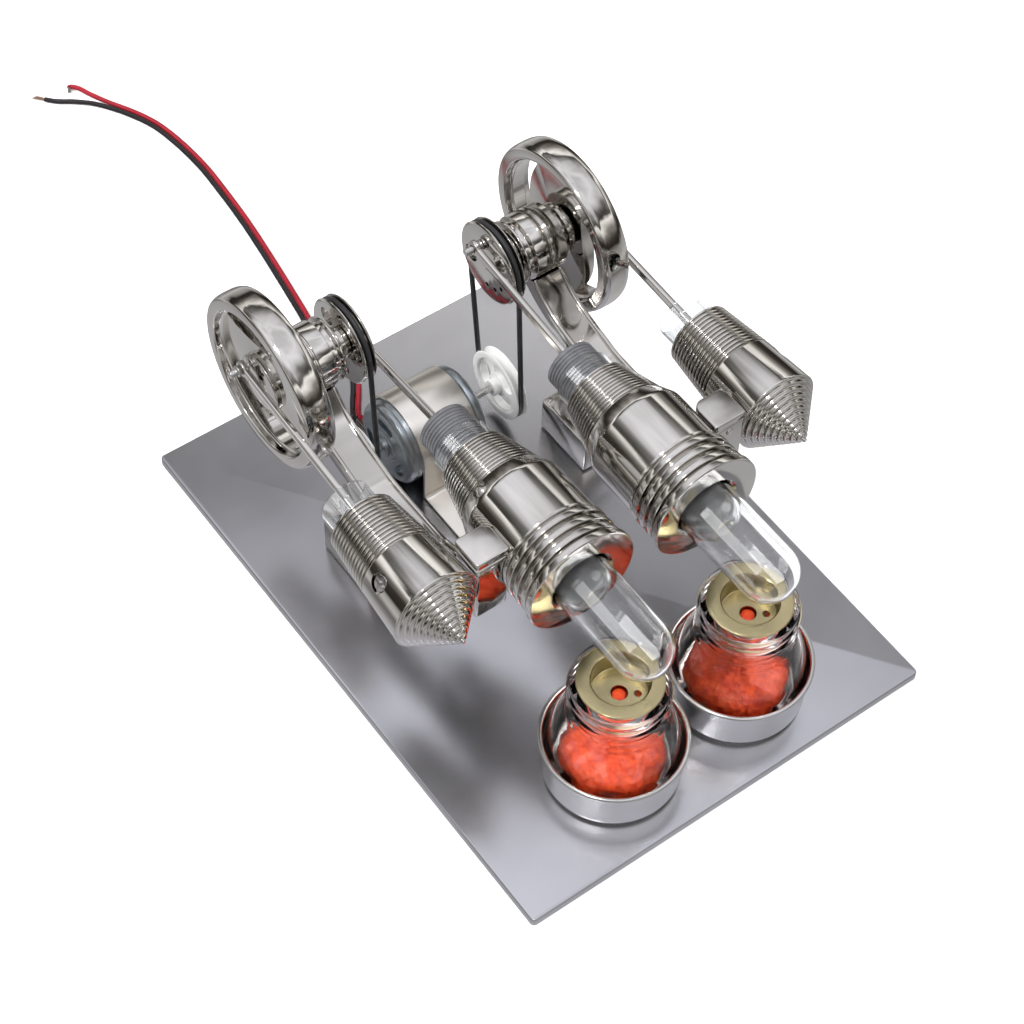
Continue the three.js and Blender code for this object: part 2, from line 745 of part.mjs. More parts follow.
function powerCylinder() {
  const points = finnedProfile(
    POWER_REAR_Y,
    POWER_REAR_RADIUS,
    POWER_SHOULDER_RADIUS,
    POWER_FIN_LENGTH,
    POWER_FINS,
  );
  points.push([POWER_FRONT_RADIUS, POWER_FRONT_Y]);
  const pitch = (POWER_FRONT_Y - POWER_TIP_Y) / NOSE_STEPS;
  const shrink = (POWER_FRONT_RADIUS - NOSE_TIP_RADIUS) / NOSE_STEPS;
  for (let i = 0; i < NOSE_STEPS; i += 1) {
    const radius = POWER_FRONT_RADIUS - shrink * (i + 1);
    const back = POWER_FRONT_Y - pitch * i;
    points.push([radius + shrink * NOSE_STEP_LIP, back - pitch * STEP_FACE]);
    points.push([radius, back - pitch]);
  }
  points.push([0, POWER_TIP_Y]);
  const body = turned(points, "y", FINE_ROUND).translate(POWER_X, 0, AXLE_Z);
  const bore = rod(POWER_BORE, POWER_REAR_Y - POWER_BORE_DEPTH, POWER_REAR_Y + CUT_PAST, "y");
  return cut(body, bore.translate(POWER_X, 0, AXLE_Z), plugTool());
}

function plugAxis(geometry) {
  return geometry.rotateY(-PLUG_TURN).translate(POWER_X, PLUG_Y, AXLE_Z);
}

function plugTool() {
  const seat = POWER_BORE + PLUG_SEAT;
  return plugAxis(rod(PLUG_RADIUS + GAP, seat, POWER_FRONT_RADIUS + CUT_PAST, "x", SMALL_ROUND));
}

function plugScrew() {
  const x0 = POWER_BORE + PLUG_SEAT + GAP;
  const x1 = POWER_FRONT_RADIUS - PLUG_SUNK;
  const slot = box(
    x1 - PLUG_SLOT_DEPTH,
    x1 + CUT_PAST,
    -PLUG_RADIUS - CUT_PAST,
    PLUG_RADIUS + CUT_PAST,
    -SCREW_SLOT_HALF,
    SCREW_SLOT_HALF,
  );
  return plugAxis(cut(rod(PLUG_RADIUS, x0, x1, "x", SMALL_ROUND), slot));
}

function powerSleeve() {
  const y0 = POWER_REAR_Y - POWER_BORE_DEPTH + GAP;
  const inner = SLEEVE_RADIUS - SLEEVE_WALL;
  return tube(SLEEVE_RADIUS, inner, y0, SLEEVE_END_Y, "y").translate(POWER_X, 0, AXLE_Z);
}

function forkPiston(x, radius, y0, y1, wristY, slotHalf) {
  const body = rod(radius, y0, y1, "y").translate(x, 0, AXLE_Z);
  const slot = box(
    x - FORK_SLOT / 2,
    x + FORK_SLOT / 2,
    wristY - ROD_EYE_RADIUS - FORK_CLEARANCE,
    y1 + CUT_PAST,
    AXLE_Z - slotHalf,
    AXLE_Z + slotHalf,
  );
  const pin = rod(WRIST_PIN_RADIUS, x - FORK_SLOT, x + FORK_SLOT, "x", SMALL_ROUND);
  return join(cut(body, slot), pin.translate(0, wristY, AXLE_Z));
}

function displacerCylinder() {
  const points = finnedProfile(
    DISPLACER_REAR_Y,
    DISPLACER_REAR_RADIUS,
    DISPLACER_FIN_RADIUS,
    DISPLACER_FIN_LENGTH,
    DISPLACER_FINS,
  );
  points.push([DISPLACER_BARREL_RADIUS, DISPLACER_SHOULDER_Y]);
  const pitch = (DISPLACER_FLANGE_Y - DISPLACER_PLATE_Y) / FLANGE_RINGS;
  const root = DISPLACER_RING_RADIUS - RING_ROOT_DEPTH;
  points.push([DISPLACER_BARREL_RADIUS, DISPLACER_FLANGE_Y + pitch * STEP_FACE]);
  for (let i = 0; i < FLANGE_RINGS; i += 1) {
    const y = DISPLACER_FLANGE_Y - pitch * i;
    points.push([root, y]);
    points.push([DISPLACER_RING_RADIUS, y - pitch * RING_FLANK]);
    points.push([DISPLACER_RING_RADIUS, y - pitch * RING_END]);
  }
  points.push([root, DISPLACER_PLATE_Y]);
  points.push([DISPLACER_PLATE_RADIUS, DISPLACER_PLATE_Y - RIM_EDGE]);
  points.push([DISPLACER_PLATE_RADIUS, DISPLACER_FRONT_Y]);
  points.push([0, DISPLACER_FRONT_Y]);
  const body = turned(points, "y", FINE_ROUND);
  const hotEnd = DISPLACER_FRONT_Y + TUBE_DEPTH;
  const guideEnd = DISPLACER_REAR_Y - GUIDE_SLEEVE_DEPTH;
  const hot = rod(TUBE_RADIUS + GAP, DISPLACER_FRONT_Y - CUT_PAST, hotEnd, "y");
  const chamberRadius = CAPSULE_RADIUS + CHAMBER_CLEARANCE;
  const chamber = rod(chamberRadius, hotEnd - CUT_PAST, guideEnd + CUT_PAST, "y");
  const guide = rod(GUIDE_SLEEVE_RADIUS + GAP, guideEnd, DISPLACER_REAR_Y + CUT_PAST, "y");
  return cut(body, hot, chamber, guide).translate(DISPLACER_X, 0, AXLE_Z);
}

function guideSleeve() {
  return tube(
    GUIDE_SLEEVE_RADIUS,
    GUIDE_SLEEVE_RADIUS - GUIDE_SLEEVE_WALL,
    DISPLACER_REAR_Y - GUIDE_SLEEVE_DEPTH + GAP,
    GUIDE_SLEEVE_END_Y,
    "y",
  ).translate(DISPLACER_X, 0, AXLE_Z);
}

function domeProfile(radius, tipY, mouthY, steps) {
  const points = [];
  for (let i = 0; i <= steps; i += 1) {
    const a = (Math.PI / 2) * (i / steps);
    points.push([radius * Math.sin(a), tipY + radius * (1 - Math.cos(a))]);
  }
  points.push([radius, mouthY]);
  return points;
}

function hotTube() {
  const mouth = DISPLACER_FRONT_Y + TUBE_DEPTH - GAP;
  const outer = domeProfile(TUBE_RADIUS, TUBE_TIP_Y, mouth, 6);
  const inner = domeProfile(TUBE_RADIUS - TUBE_WALL, TUBE_TIP_Y + TUBE_WALL, mouth, 6);
  return turned([...outer, ...inner.reverse()], "y").translate(DISPLACER_X, 0, AXLE_Z);
}

function displacerCapsule(pinY, guideFrontY) {
  const front = pinY - CAPSULE_REACH;
  const rear = front + CAPSULE_LENGTH;
  const points = domeProfile(CAPSULE_RADIUS, front, rear - CAPSULE_EDGE, 5);
  points.push([CAPSULE_RADIUS - CAPSULE_EDGE, rear]);
  points.push([STEM_RADIUS, rear]);
  points.push([STEM_RADIUS, guideFrontY - GAP]);
  points.push([0, guideFrontY - GAP]);
  return turned(points, "y").translate(DISPLACER_X, 0, AXLE_Z);
}

function beltLoop() {
  const topRadius = PULLEY_RADIUS - GROOVE_DEPTH + GAP + BELT_RADIUS;
  const lowRadius = GENERATOR_PULLEY_RADIUS - GROOVE_DEPTH + GAP + BELT_RADIUS;
  const along = new THREE.Vector2(MOTOR_Y - AXLE_Y, motorZ - AXLE_Z);
  const heading = Math.atan2(along.y, along.x);
  const spread = Math.acos((topRadius - lowRadius) / along.length());
  const points = [];
  const wrapSteps = 10;
  for (let i = 0; i <= wrapSteps; i += 1) {
    const a = heading + spread + ((Math.PI * 2 - spread * 2) * i) / wrapSteps;
    points.push([AXLE_Y + topRadius * Math.cos(a), AXLE_Z + topRadius * Math.sin(a)]);
  }
  for (let i = 0; i <= wrapSteps; i += 1) {
    const a = heading - spread + (spread * 2 * i) / wrapSteps;
    points.push([MOTOR_Y + lowRadius * Math.cos(a), motorZ + lowRadius * Math.sin(a)]);
  }
  const count = points.length;
  const sides = 6;
  const position = [];
  const index = [];
  points.forEach(([y, z], i) => {
    const [py, pz] = points[(i + count - 1) % count];
    const [ny, nz] = points[(i + 1) % count];
    const tangent = new THREE.Vector2(ny - py, nz - pz).normalize();
    for (let k = 0; k < sides; k += 1) {
      const a = (Math.PI * 2 * k) / sides;
      const out = BELT_RADIUS * Math.cos(a);
      position.push(BELT_RADIUS * Math.sin(a), y - tangent.y * out, z + tangent.x * out);
      const next = ((i + 1) % count) * sides;
      const here = i * sides;
      const turn = (k + 1) % sides;
      index.push(here + k, here + turn, next + k);
      index.push(next + k, here + turn, next + turn);
    }
  });
  const geometry = new THREE.BufferGeometry();
  geometry.setAttribute("position", new THREE.Float32BufferAttribute(position, 3));
  geometry.setIndex(index);
  return geometry.translate(PULLEY_INNER_X + PULLEY_WIDTH / 2, 0, 0);
}

function generatorPulley(reach) {
  const mid = PULLEY_INNER_X + PULLEY_WIDTH / 2;
  const x0 = mid - GENERATOR_PULLEY_WIDTH / 2;
  const x1 = mid + GENERATOR_PULLEY_WIDTH / 2;
  const floor = GENERATOR_PULLEY_RADIUS - GROOVE_DEPTH;
  const disc = turned(
    [
      [0, x0],
      [GENERATOR_PULLEY_RADIUS, x0],
      [GENERATOR_PULLEY_RADIUS, mid - GROOVE_MOUTH],
      [floor, mid - GROOVE_FLOOR],
      [floor, mid + GROOVE_FLOOR],
      [GENERATOR_PULLEY_RADIUS, mid + GROOVE_MOUTH],
      [GENERATOR_PULLEY_RADIUS, x1],
      [0, x1],
    ],
    "x",
  );
  const windows = Array.from({ length: SPOKE_WINDOWS }, (_, i) =>
    sideExtrude(
      kidney(
        SPOKE_WINDOW_INNER,
        SPOKE_WINDOW_OUTER,
        (Math.PI * 2 * i) / SPOKE_WINDOWS,
        SPOKE_WINDOW_SPAN,
        4,
      ),
      x0 - CUT_PAST,
      x1 + CUT_PAST,
    ),
  );
  const hub = rod(SPOKE_HUB_RADIUS, x0 - SPOKE_HUB_LENGTH, x1, "x", SMALL_ROUND);
  const shaft = rod(MOTOR_SHAFT_RADIUS, reach, x1 + SHAFT_END_INSET, "x", SMALL_ROUND);
  return join(cut(disc, ...windows), hub, shaft).translate(0, MOTOR_Y, motorZ);
}

function burnerTray() {
  const floor = PLATE_THICKNESS + GAP;
  const top = floor + TRAY_HEIGHT;
  return turned(
    [
      [0, floor],
      [TRAY_BASE_RADIUS - TRAY_EDGE, floor],
      [TRAY_BASE_RADIUS, floor + TRAY_EDGE],
      [TRAY_RADIUS - TRAY_EDGE / 2, top - TRAY_EDGE],
      [TRAY_RADIUS, top],
      [TRAY_RADIUS - TRAY_WALL, top],
      [TRAY_BASE_RADIUS - TRAY_WALL, floor + TRAY_WALL],
      [0, floor + TRAY_WALL],
    ],
    "z",
    FINE_ROUND,
  ).translate(BURNER_X, BURNER_Y, 0);
}

function burnerJar() {
  const floor = PLATE_THICKNESS + GAP + TRAY_WALL + GAP;
  const neckInner = CUP_RADIUS - CUP_SEAT;
  const ribs = [];
  for (let i = 0; i < NECK_RIBS; i += 1) {
    const z = JAR_NECK_Z + i * NECK_RIB_PITCH;
    ribs.push([JAR_NECK_RADIUS, z]);
    ribs.push([JAR_NECK_RADIUS - NECK_RIB_DEPTH, z + NECK_RIB_PITCH / 2]);
  }
  const inside = JAR_RADIUS - JAR_WALL;
  return turned(
    [
      [0, floor],
      [JAR_RADIUS - JAR_FOOT_EDGE * 2, floor],
      [JAR_RADIUS - JAR_FOOT_EDGE, floor + JAR_FOOT_EDGE],
      [JAR_RADIUS, JAR_SHOULDER_Z - 2],
      [JAR_RADIUS - NECK_RIB_DEPTH, JAR_SHOULDER_Z + 3],
      ...ribs,
      [JAR_NECK_RADIUS - NECK_RIB_DEPTH, JAR_TOP_Z],
      [neckInner, JAR_TOP_Z],
      [neckInner, JAR_NECK_Z + 1],
      [inside - 2, JAR_SHOULDER_Z + 2],
      [inside - 1.2, JAR_SHOULDER_Z - 3],
      [inside - JAR_FOOT_EDGE * 2, floor + JAR_WALL + 1],
      [0, floor + JAR_WALL],
    ],
    "z",
    FINE_ROUND,
  ).translate(BURNER_X, BURNER_Y, 0);
}

function wickCup(sign) {
  const stemRadius = CUP_RADIUS - CUP_SEAT - GAP;
  const under = JAR_TOP_Z + GAP;
  const recess = CUP_TOP_Z - CUP_RECESS_DEPTH;
  const floor = CUP_TOP_Z - CUP_LENGTH;
  const body = turned(
    [
      [0, floor],
      [stemRadius, floor],
      [stemRadius, under],
      [CUP_RADIUS, under],
      [CUP_RADIUS, CUP_TOP_Z],
      [CUP_RECESS_RADIUS, CUP_TOP_Z],
      [CUP_RECESS_RADIUS, recess],
      [0, recess],
    ],
    "z",
    FINE_ROUND,
  );
  const low = floor - CUT_PAST;
  const high = CUP_TOP_Z + CUT_PAST;
  const wick = rod(WICK_HOLE_RADIUS, low, high, "z", SMALL_ROUND);
  const vent = rod(VENT_RADIUS, low, high, "z", SMALL_ROUND);
  return cut(body, wick, vent.translate(VENT_X * sign, VENT_Y, 0)).translate(
    BURNER_X,
    BURNER_Y,
    0,
  );
}

function filling() {
  const floor = PLATE_THICKNESS + GAP + TRAY_WALL + GAP + JAR_WALL + GAP;
  const inside = JAR_RADIUS - JAR_WALL - 1;
  return turned(
    [
      [0, floor],
      [inside - JAR_FOOT_EDGE * 2, floor + 1.2],
      [inside - 1, JAR_SHOULDER_Z - 3],
      [inside - 2.2, JAR_SHOULDER_Z + 1.4],
      [CUP_RADIUS - CUP_SEAT, FILL_TOP_Z],
      [0, FILL_TOP_Z],
    ],
    "z",
    FINE_ROUND,
  ).translate(BURNER_X, BURNER_Y, 0);
}

function transferBlock() {
  const half = BLOCK_SIZE / 2;
  const block = box(
    FRAME_X - half,
    FRAME_X + half,
    BLOCK_Y - half,
    BLOCK_Y + half,
    BLOCK_BOTTOM_Z,
    BLOCK_TOP_Z,
  );
  const top = BLOCK_TOP_Z - BLOCK_GROOVE_DROP;
  const core = half - BLOCK_GROOVE_DEPTH;
  const groove = cut(
    box(
      FRAME_X - half - CUT_PAST,
      FRAME_X + half + CUT_PAST,
      BLOCK_Y - half - CUT_PAST,
      BLOCK_Y + half + CUT_PAST,
      top - BLOCK_GROOVE_HEIGHT,
      top,
    ),
    box(
      FRAME_X - core,
      FRAME_X + core,
      BLOCK_Y - core,
      BLOCK_Y + core,
      top - CUT_PAST,
      top + CUT_PAST,
    ),
  );
  const saddles = [
    [POWER_FRONT_RADIUS + GAP, POWER_X],
    [DISPLACER_BARREL_RADIUS + BLOCK_BARREL_GAP, DISPLACER_X],
  ].map(([radius, x]) =>
    rod(radius, BLOCK_Y - BLOCK_SIZE, BLOCK_Y + BLOCK_SIZE, "y", FINE_ROUND).translate(
      x,
      0,
      AXLE_Z,
    ),
  );
  return cut(block, groove, ...saddles, stripTool());
}

function stripTool() {
  return box(
    FRAME_X - FRAME_WIDTH,
    FRAME_X + FRAME_WIDTH,
    STRIP_FRONT_Y - GAP,
    STRIP_FRONT_Y + BLOCK_SIZE,
    BLOCK_BOTTOM_Z - CUT_PAST,
    STRIP_TOP_Z + STRIP_FRONT_RISE + RIM_HEIGHT + GAP,
  );
}

function stand() {
  const foot = box(
    FRAME_X - STAND_WIDTH / 2,
    FRAME_X + STAND_WIDTH / 2,
    STAND_REAR_Y - STAND_LENGTH,
    STAND_REAR_Y,
    PLATE_THICKNESS + GAP,
    STAND_TOP_Z,
  );
  const post = box(
    FRAME_X - POST_WIDTH / 2,
    FRAME_X + POST_WIDTH / 2,
    POST_REAR_Y - POST_LENGTH,
    POST_REAR_Y,
    STAND_TOP_Z - POST_SUNK,
    STRIP_TOP_Z - STRIP_THICKNESS - GAP,
  );
  return join(foot, post);
}

function motorCan(side) {
  const reach = MOTOR_LENGTH;
  const near = side * MOTOR_MIDDLE_X + GAP;
  const profile = [
    [0, near],
    [MOTOR_RADIUS, near],
    [MOTOR_RADIUS, near + reach - MOTOR_EDGE],
    [MOTOR_RADIUS - MOTOR_EDGE, near + reach],
    [MOTOR_BOSS_RADIUS, near + reach],
    [MOTOR_BOSS_RADIUS, near + reach + MOTOR_BOSS_LENGTH],
    [0, near + reach + MOTOR_BOSS_LENGTH],
  ];
  const face = near + reach + MOTOR_BOSS_LENGTH;
  return {
    can: turned(profile, "x", FINE_ROUND).translate(0, MOTOR_Y, motorZ),
    shaftStart: face + GAP,
  };
}

["left", "right"].forEach((name) => {
  const sign = name === "left" ? -1 : 1;
  const powerAngle = POWER_ANGLE[name];
  const displacerAngle = powerAngle - DISPLACER_LAG;
  const pinAt = (angle) => [
    AXLE_Y + CRANK_THROW * Math.cos(angle),
    AXLE_Z + CRANK_THROW * Math.sin(angle),
  ];
  const wristFor = (pin, length) => {
    const drop = pin[1] - AXLE_Z;
    return [pin[0] - Math.sqrt(length * length - drop * drop), AXLE_Z];
  };
  const powerPin = pinAt(powerAngle);
  const displacerPin = pinAt(displacerAngle);
  const powerWrist = wristFor(powerPin, POWER_ROD_LENGTH);
  const displacerWrist = wristFor(displacerPin, DISPLACER_ROD_LENGTH);
  const place = (piece, geometry, finish) => {
    add(`${name}_${piece}`, placed(geometry, sign), finish);
  };

  place("frame", frame(), "nickel");
  place("stand", stand(), "nickel");
  place("bearing", bearing(), "nickel");
  place("crankshaft", crankshaft(), "steel");
  place("flywheel", flywheel(powerAngle), "nickel");
  place("crank_pulley", crankPulley(displacerAngle), "nickel");

  const powerRodX = FLYWHEEL_INNER_X + FLYWHEEL_WIDTH + POWER_ROD_GAP;
  place("power_rod", connectingRod(powerRodX, powerPin, powerWrist), "nickel");
  const powerPinX = FLYWHEEL_INNER_X + FLYWHEEL_WIDTH + GAP;
  const powerPinPiece = rod(ROD_PIN_RADIUS, powerPinX, powerPinX + POWER_PIN_LENGTH, "x", SMALL_ROUND);
  place("power_rod_pin", powerPinPiece.translate(0, powerPin[0], powerPin[1]), "steel");

  const displacerRodX = PULLEY_INNER_X - PULLEY_ROD_GAP - ROD_WIDTH;
  place(
    "displacer_rod",
    connectingRod(displacerRodX, displacerPin, displacerWrist),
    "nickel",
  );
  const pulleyPinX = PULLEY_INNER_X - GAP;
  const pulleyPin = rod(ROD_PIN_RADIUS, pulleyPinX - DISPLACER_PIN_LENGTH, pulleyPinX, "x", SMALL_ROUND);
  place("displacer_rod_pin", pulleyPin.translate(0, displacerPin[0], displacerPin[1]), "steel");

  place("power_cylinder", powerCylinder(), "nickel");
  place("power_sleeve", powerSleeve(), "glass");
  const half = POWER_PISTON_LENGTH / 2;
  place(
    "power_piston",
    forkPiston(
      POWER_X,
      SLEEVE_RADIUS - SLEEVE_WALL - GAP,
      powerWrist[0] - half,
      powerWrist[0] + half,
      powerWrist[0],
      POWER_SLOT_HALF,
    ),
    "graphite",
  );
  place("plug_screw", plugScrew(), "nickel");
  place("transfer_block", transferBlock(), "nickel");
  place("displacer_cylinder", displacerCylinder(), "nickel");
  place("guide_sleeve", guideSleeve(), "glass");
  const guideRear = displacerWrist[0] + GUIDE_PISTON_BEHIND_WRIST;
  const guideFront = guideRear - GUIDE_PISTON_LENGTH;
  place(
    "guide_piston",
    forkPiston(
      DISPLACER_X,
      GUIDE_SLEEVE_RADIUS - GUIDE_SLEEVE_WALL - GAP,
      guideFront,
      guideRear,
      displacerWrist[0],
      GUIDE_SLOT_HALF,
    ),
    "graphite",
  );
  place("displacer", displacerCapsule(displacerPin[0], guideFront), "glass");
  place("hot_tube", hotTube(), "glass");

  place("belt", beltLoop(), "rubber");
  const motor = motorCan(sign);
  place("generator", motor.can, "motor");
  place("generator_pulley", generatorPulley(motor.shaftStart), "plastic");

  place("burner_tray", burnerTray(), "steel");
  place("burner_jar", burnerJar(), "glass");
  place("wick_cup", wickCup(sign), "brass");
  place("filling", filling(), "filling");
});

export default root;
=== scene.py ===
"""Hot-air engine pair with belt-driven generators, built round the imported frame."""

import logging
import math
from dataclasses import dataclass
from enum import Enum
from typing import Optional, Sequence

import bpy
import numpy as np
from mathutils import Matrix, Vector


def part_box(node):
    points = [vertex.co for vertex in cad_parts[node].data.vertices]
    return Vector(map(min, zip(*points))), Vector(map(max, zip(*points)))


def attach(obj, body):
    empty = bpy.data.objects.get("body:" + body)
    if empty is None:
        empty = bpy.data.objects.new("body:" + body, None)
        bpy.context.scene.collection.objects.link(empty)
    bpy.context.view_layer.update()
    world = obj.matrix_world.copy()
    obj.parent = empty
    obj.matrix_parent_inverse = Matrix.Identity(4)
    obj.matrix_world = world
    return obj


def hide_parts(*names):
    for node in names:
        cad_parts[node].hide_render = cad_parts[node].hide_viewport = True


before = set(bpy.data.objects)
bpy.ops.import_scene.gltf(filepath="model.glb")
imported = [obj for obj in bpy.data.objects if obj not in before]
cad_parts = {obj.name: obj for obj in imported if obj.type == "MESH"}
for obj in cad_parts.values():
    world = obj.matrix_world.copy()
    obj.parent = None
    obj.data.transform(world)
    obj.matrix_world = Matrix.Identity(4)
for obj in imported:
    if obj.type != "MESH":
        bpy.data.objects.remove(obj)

LOG = logging.getLogger("engine")
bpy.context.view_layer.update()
MM = 0.001
FINE = 96
MEDIUM = 64
SMALL = 32

Profile = Sequence[tuple]
Socket = bpy.types.NodeSocket
SHAPED: dict = {}


class Side(Enum):
    """Which engine a piece belongs to, with the sign of its x."""

    LEFT = -1
    RIGHT = 1

    @property
    def word(self) -> str:
        """The word that starts the side's node names."""
        return self.name.lower()


class Axis(Enum):
    """The line that a turned piece is turned about."""

    X = 0
    Y = 1
    Z = 2


# ---------------------------------------------------------------- shapes


@dataclass
class Solid:
    """A closed surface in millimetres.

    Args:
        points: corner points, one row each.
        faces: point numbers round each face.
    """

    points: np.ndarray
    faces: list

    def moved(self, x: float = 0, y: float = 0, z: float = 0) -> "Solid":
        """A copy shifted by x, y and z."""
        return Solid(self.points + np.array([x, y, z]), self.faces)

    def turned(self, axis: Axis, angle: float, centre: Sequence[float] = (0, 0, 0)) -> "Solid":
        """A copy turned about a line through centre.

        Args:
            axis: direction of the line.
            angle: radians, by the right-hand rule.
            centre: a point on the line.

        Returns:
            The turned solid.
        """
        matrix = np.array(Matrix.Rotation(angle, 3, axis.name))
        middle = np.array(centre, float)
        return Solid((self.points - middle) @ matrix.T + middle, self.faces)

    def mirrored(self) -> "Solid":
        """A copy with x reversed and its faces still pointing out."""
        return Solid(self.points * np.array([-1, 1, 1]), [f[::-1] for f in self.faces])

    def plus(self, *others: "Solid") -> "Solid":
        """One solid holding this one and the others side by side."""
        points, faces = [self.points], list(self.faces)
        count = len(self.points)
        for other in others:
            points.append(other.points)
            faces += [tuple(i + count for i in f) for f in other.faces]
            count += len(other.points)
        return Solid(np.vstack(points), faces)

    def mesh(self, name: str) -> bpy.types.Mesh:
        """A Blender mesh of this solid, in metres."""
        mesh = bpy.data.meshes.new(name)
        mesh.from_pydata((self.points * MM).tolist(), [], self.faces)
        mesh.update()
        return mesh

    def _through(self, tools: Sequence["Solid"], modifiers: Sequence[tuple]) -> "Solid":
        """This solid after Blender modifiers.

        Args:
            tools: solids that the modifiers use.
            modifiers: kind, settings and tool number (or None) of each.

        Returns:
            The changed solid.
        """
        key = tuple(s.points.round(4).tobytes() for s in (self, *tools)) + (str(modifiers),)
        if key in SHAPED:
            return Solid(SHAPED[key].points.copy(), list(SHAPED[key].faces))
        objects = [bpy.data.objects.new("blank", s.mesh("blank")) for s in (self, *tools)]
        for item in objects:
            item.data.transform(Matrix.Scale(1 / MM, 4))
            bpy.context.scene.collection.objects.link(item)
        for kind, settings, tool in modifiers:
            modifier = objects[0].modifiers.new(kind.lower(), kind)
            for key, value in settings.items():
                setattr(modifier, key, value)
            if tool is not None:
                modifier.object = objects[tool + 1]
        graph = bpy.context.evaluated_depsgraph_get()
        made = bpy.data.meshes.new_from_object(objects[0].evaluated_get(graph))
        points = np.array([v.co for v in made.vertices], float).reshape(-1, 3)
        faces = [tuple(p.vertices) for p in made.polygons]
        for item in objects:
            data = item.data
            bpy.data.objects.remove(item)
            bpy.data.meshes.remove(data)
        bpy.data.meshes.remove(made)
        SHAPED[key] = Solid(points, faces)
        return Solid(points.copy(), list(faces))

    def cut(self, *tools: "Solid") -> "Solid":
        """This solid with the tools taken out of it."""
        steps = [
            ("BOOLEAN", {"operation": "DIFFERENCE", "solver": "EXACT"}, i)
            for i in range(len(tools))
        ]
        return self._through(tools, steps)

    def joined(self, *others: "Solid") -> "Solid":
        """This solid and the others as one skin."""
        steps = [
            ("BOOLEAN", {"operation": "UNION", "solver": "EXACT"}, i) for i in range(len(others))
        ]
        return self._through(others, steps)

    def eased(self, width: float, segments: int = 2, angle: float = 40) -> "Solid":
        """This solid with its sharp edges rounded.

        Args:
            width: how far the rounding reaches, in millimetres.
            segments: steps in the rounding.
            angle: edges sharper than this many degrees are rounded.

        Returns:
            The rounded solid.
        """
        settings = {
            "width": width,
            "segments": segments,
            "limit_method": "ANGLE",
            "angle_limit": math.radians(angle),
            "miter_outer": "MITER_ARC",
        }
        return self._through((), [("BEVEL", settings, None)])


def softened(profile: Profile, closed: bool = False, steps: int = 4) -> list:
    """A profile with rounded corners.

    Args:
        profile: (radius, along) or (radius, along, rounding) for each corner.
        closed: True if the last corner joins the first.
        steps: points in each rounding.

    Returns:
        The (radius, along) points.
    """
    corners = [np.array(p[:2], float) for p in profile]
    rounding = [p[2] if len(p) > 2 else 0.0 for p in profile]
    count = len(corners)
    made = []
    for i, corner in enumerate(corners):
        last, after = corners[i - 1], corners[(i + 1) % count]
        inner = closed or 0 < i < count - 1
        if not rounding[i] or not inner:
            made.append(tuple(corner))
            continue
        back, ahead = last - corner, after - corner
        reach = min(rounding[i], np.linalg.norm(back) * 0.48, np.linalg.norm(ahead) * 0.48)
        start = corner + back / np.linalg.norm(back) * reach
        end = corner + ahead / np.linalg.norm(ahead) * reach
        for k in range(steps + 1):
            t = k / steps
            made.append(tuple(start * (1 - t) ** 2 + corner * 2 * t * (1 - t) + end * t * t))
    return made


def lathe(profile: Profile, axis: Axis, centre: Sequence[float], segments: int = FINE,
          closed: bool = False) -> Solid:
    """A turned solid.

    Args:
        profile: (radius, along) or (radius, along, rounding) for each corner.
        axis: the line it is turned about.
        centre: a point on that line; its part along the line is not used.
        segments: flats round the turn.
        closed: True for a ring, whose profile closes on itself.

    Returns:
        The solid, with its faces pointing out.
    """
    outline = softened(profile, closed)
    points, rings = [], []
    turn = np.linspace(0, 2 * math.pi, segments, endpoint=False)
    a, b = [(1, 2), (2, 0), (0, 1)][axis.value]
    for radius, along in outline:
        flat = radius < 1e-6
        block = np.zeros((1 if flat else segments, 3))
        block[:, axis.value] = along
        block[:, a] = centre[a] + (0 if flat else radius * np.cos(turn))
        block[:, b] = centre[b] + (0 if flat else radius * np.sin(turn))
        start = sum(len(p) for p in points)
        rings.append([start] if flat else list(range(start, start + segments)))
        points.append(block)
    faces = []
    pairs = list(zip(rings, rings[1:])) + ([(rings[-1], rings[0])] if closed else [])
    for low, high in pairs:
        for k in range(segments):
            n = (k + 1) % segments
            if len(low) == 1 and len(high) == 1:
                break
            if len(low) == 1:
                faces.append((low[0], high[n], high[k]))
            elif len(high) == 1:
                faces.append((low[k], low[n], high[0]))
            else:
                faces.append((low[k], low[n], high[n], high[k]))
    solid = Solid(np.vstack(points), faces)
    return solid if volume(solid) > 0 else Solid(solid.points, [f[::-1] for f in faces])


def volume(solid: Solid) -> float:
    """The signed volume, positive when the faces point out."""
    total = 0.0
    for face in solid.faces:
        first = solid.points[face[0]]
        for i in range(1, len(face) - 1):
            total += first @ np.cross(solid.points[face[i]], solid.points[face[i + 1]])
    return total / 6


def rod(radius: float, start: float, end: float, axis: Axis, centre: Sequence[float],
        edge: float = 0.2, segments: int = SMALL) -> Solid:
    """A round bar with softened ends."""
    profile = [(0, start), (radius, start, edge), (radius, end, edge), (0, end)]
    return lathe(profile, axis, centre, segments)


def block(x: tuple, y: tuple, z: tuple) -> Solid:
    """A plain box between the given limits."""
    points = np.array([(a, b, c) for a in x for b in y for c in z], float)
    faces = [(0, 1, 3, 2), (4, 6, 7, 5), (0, 4, 5, 1), (2, 3, 7, 6), (0, 2, 6, 4), (1, 5, 7, 3)]
    return Solid(points, faces)


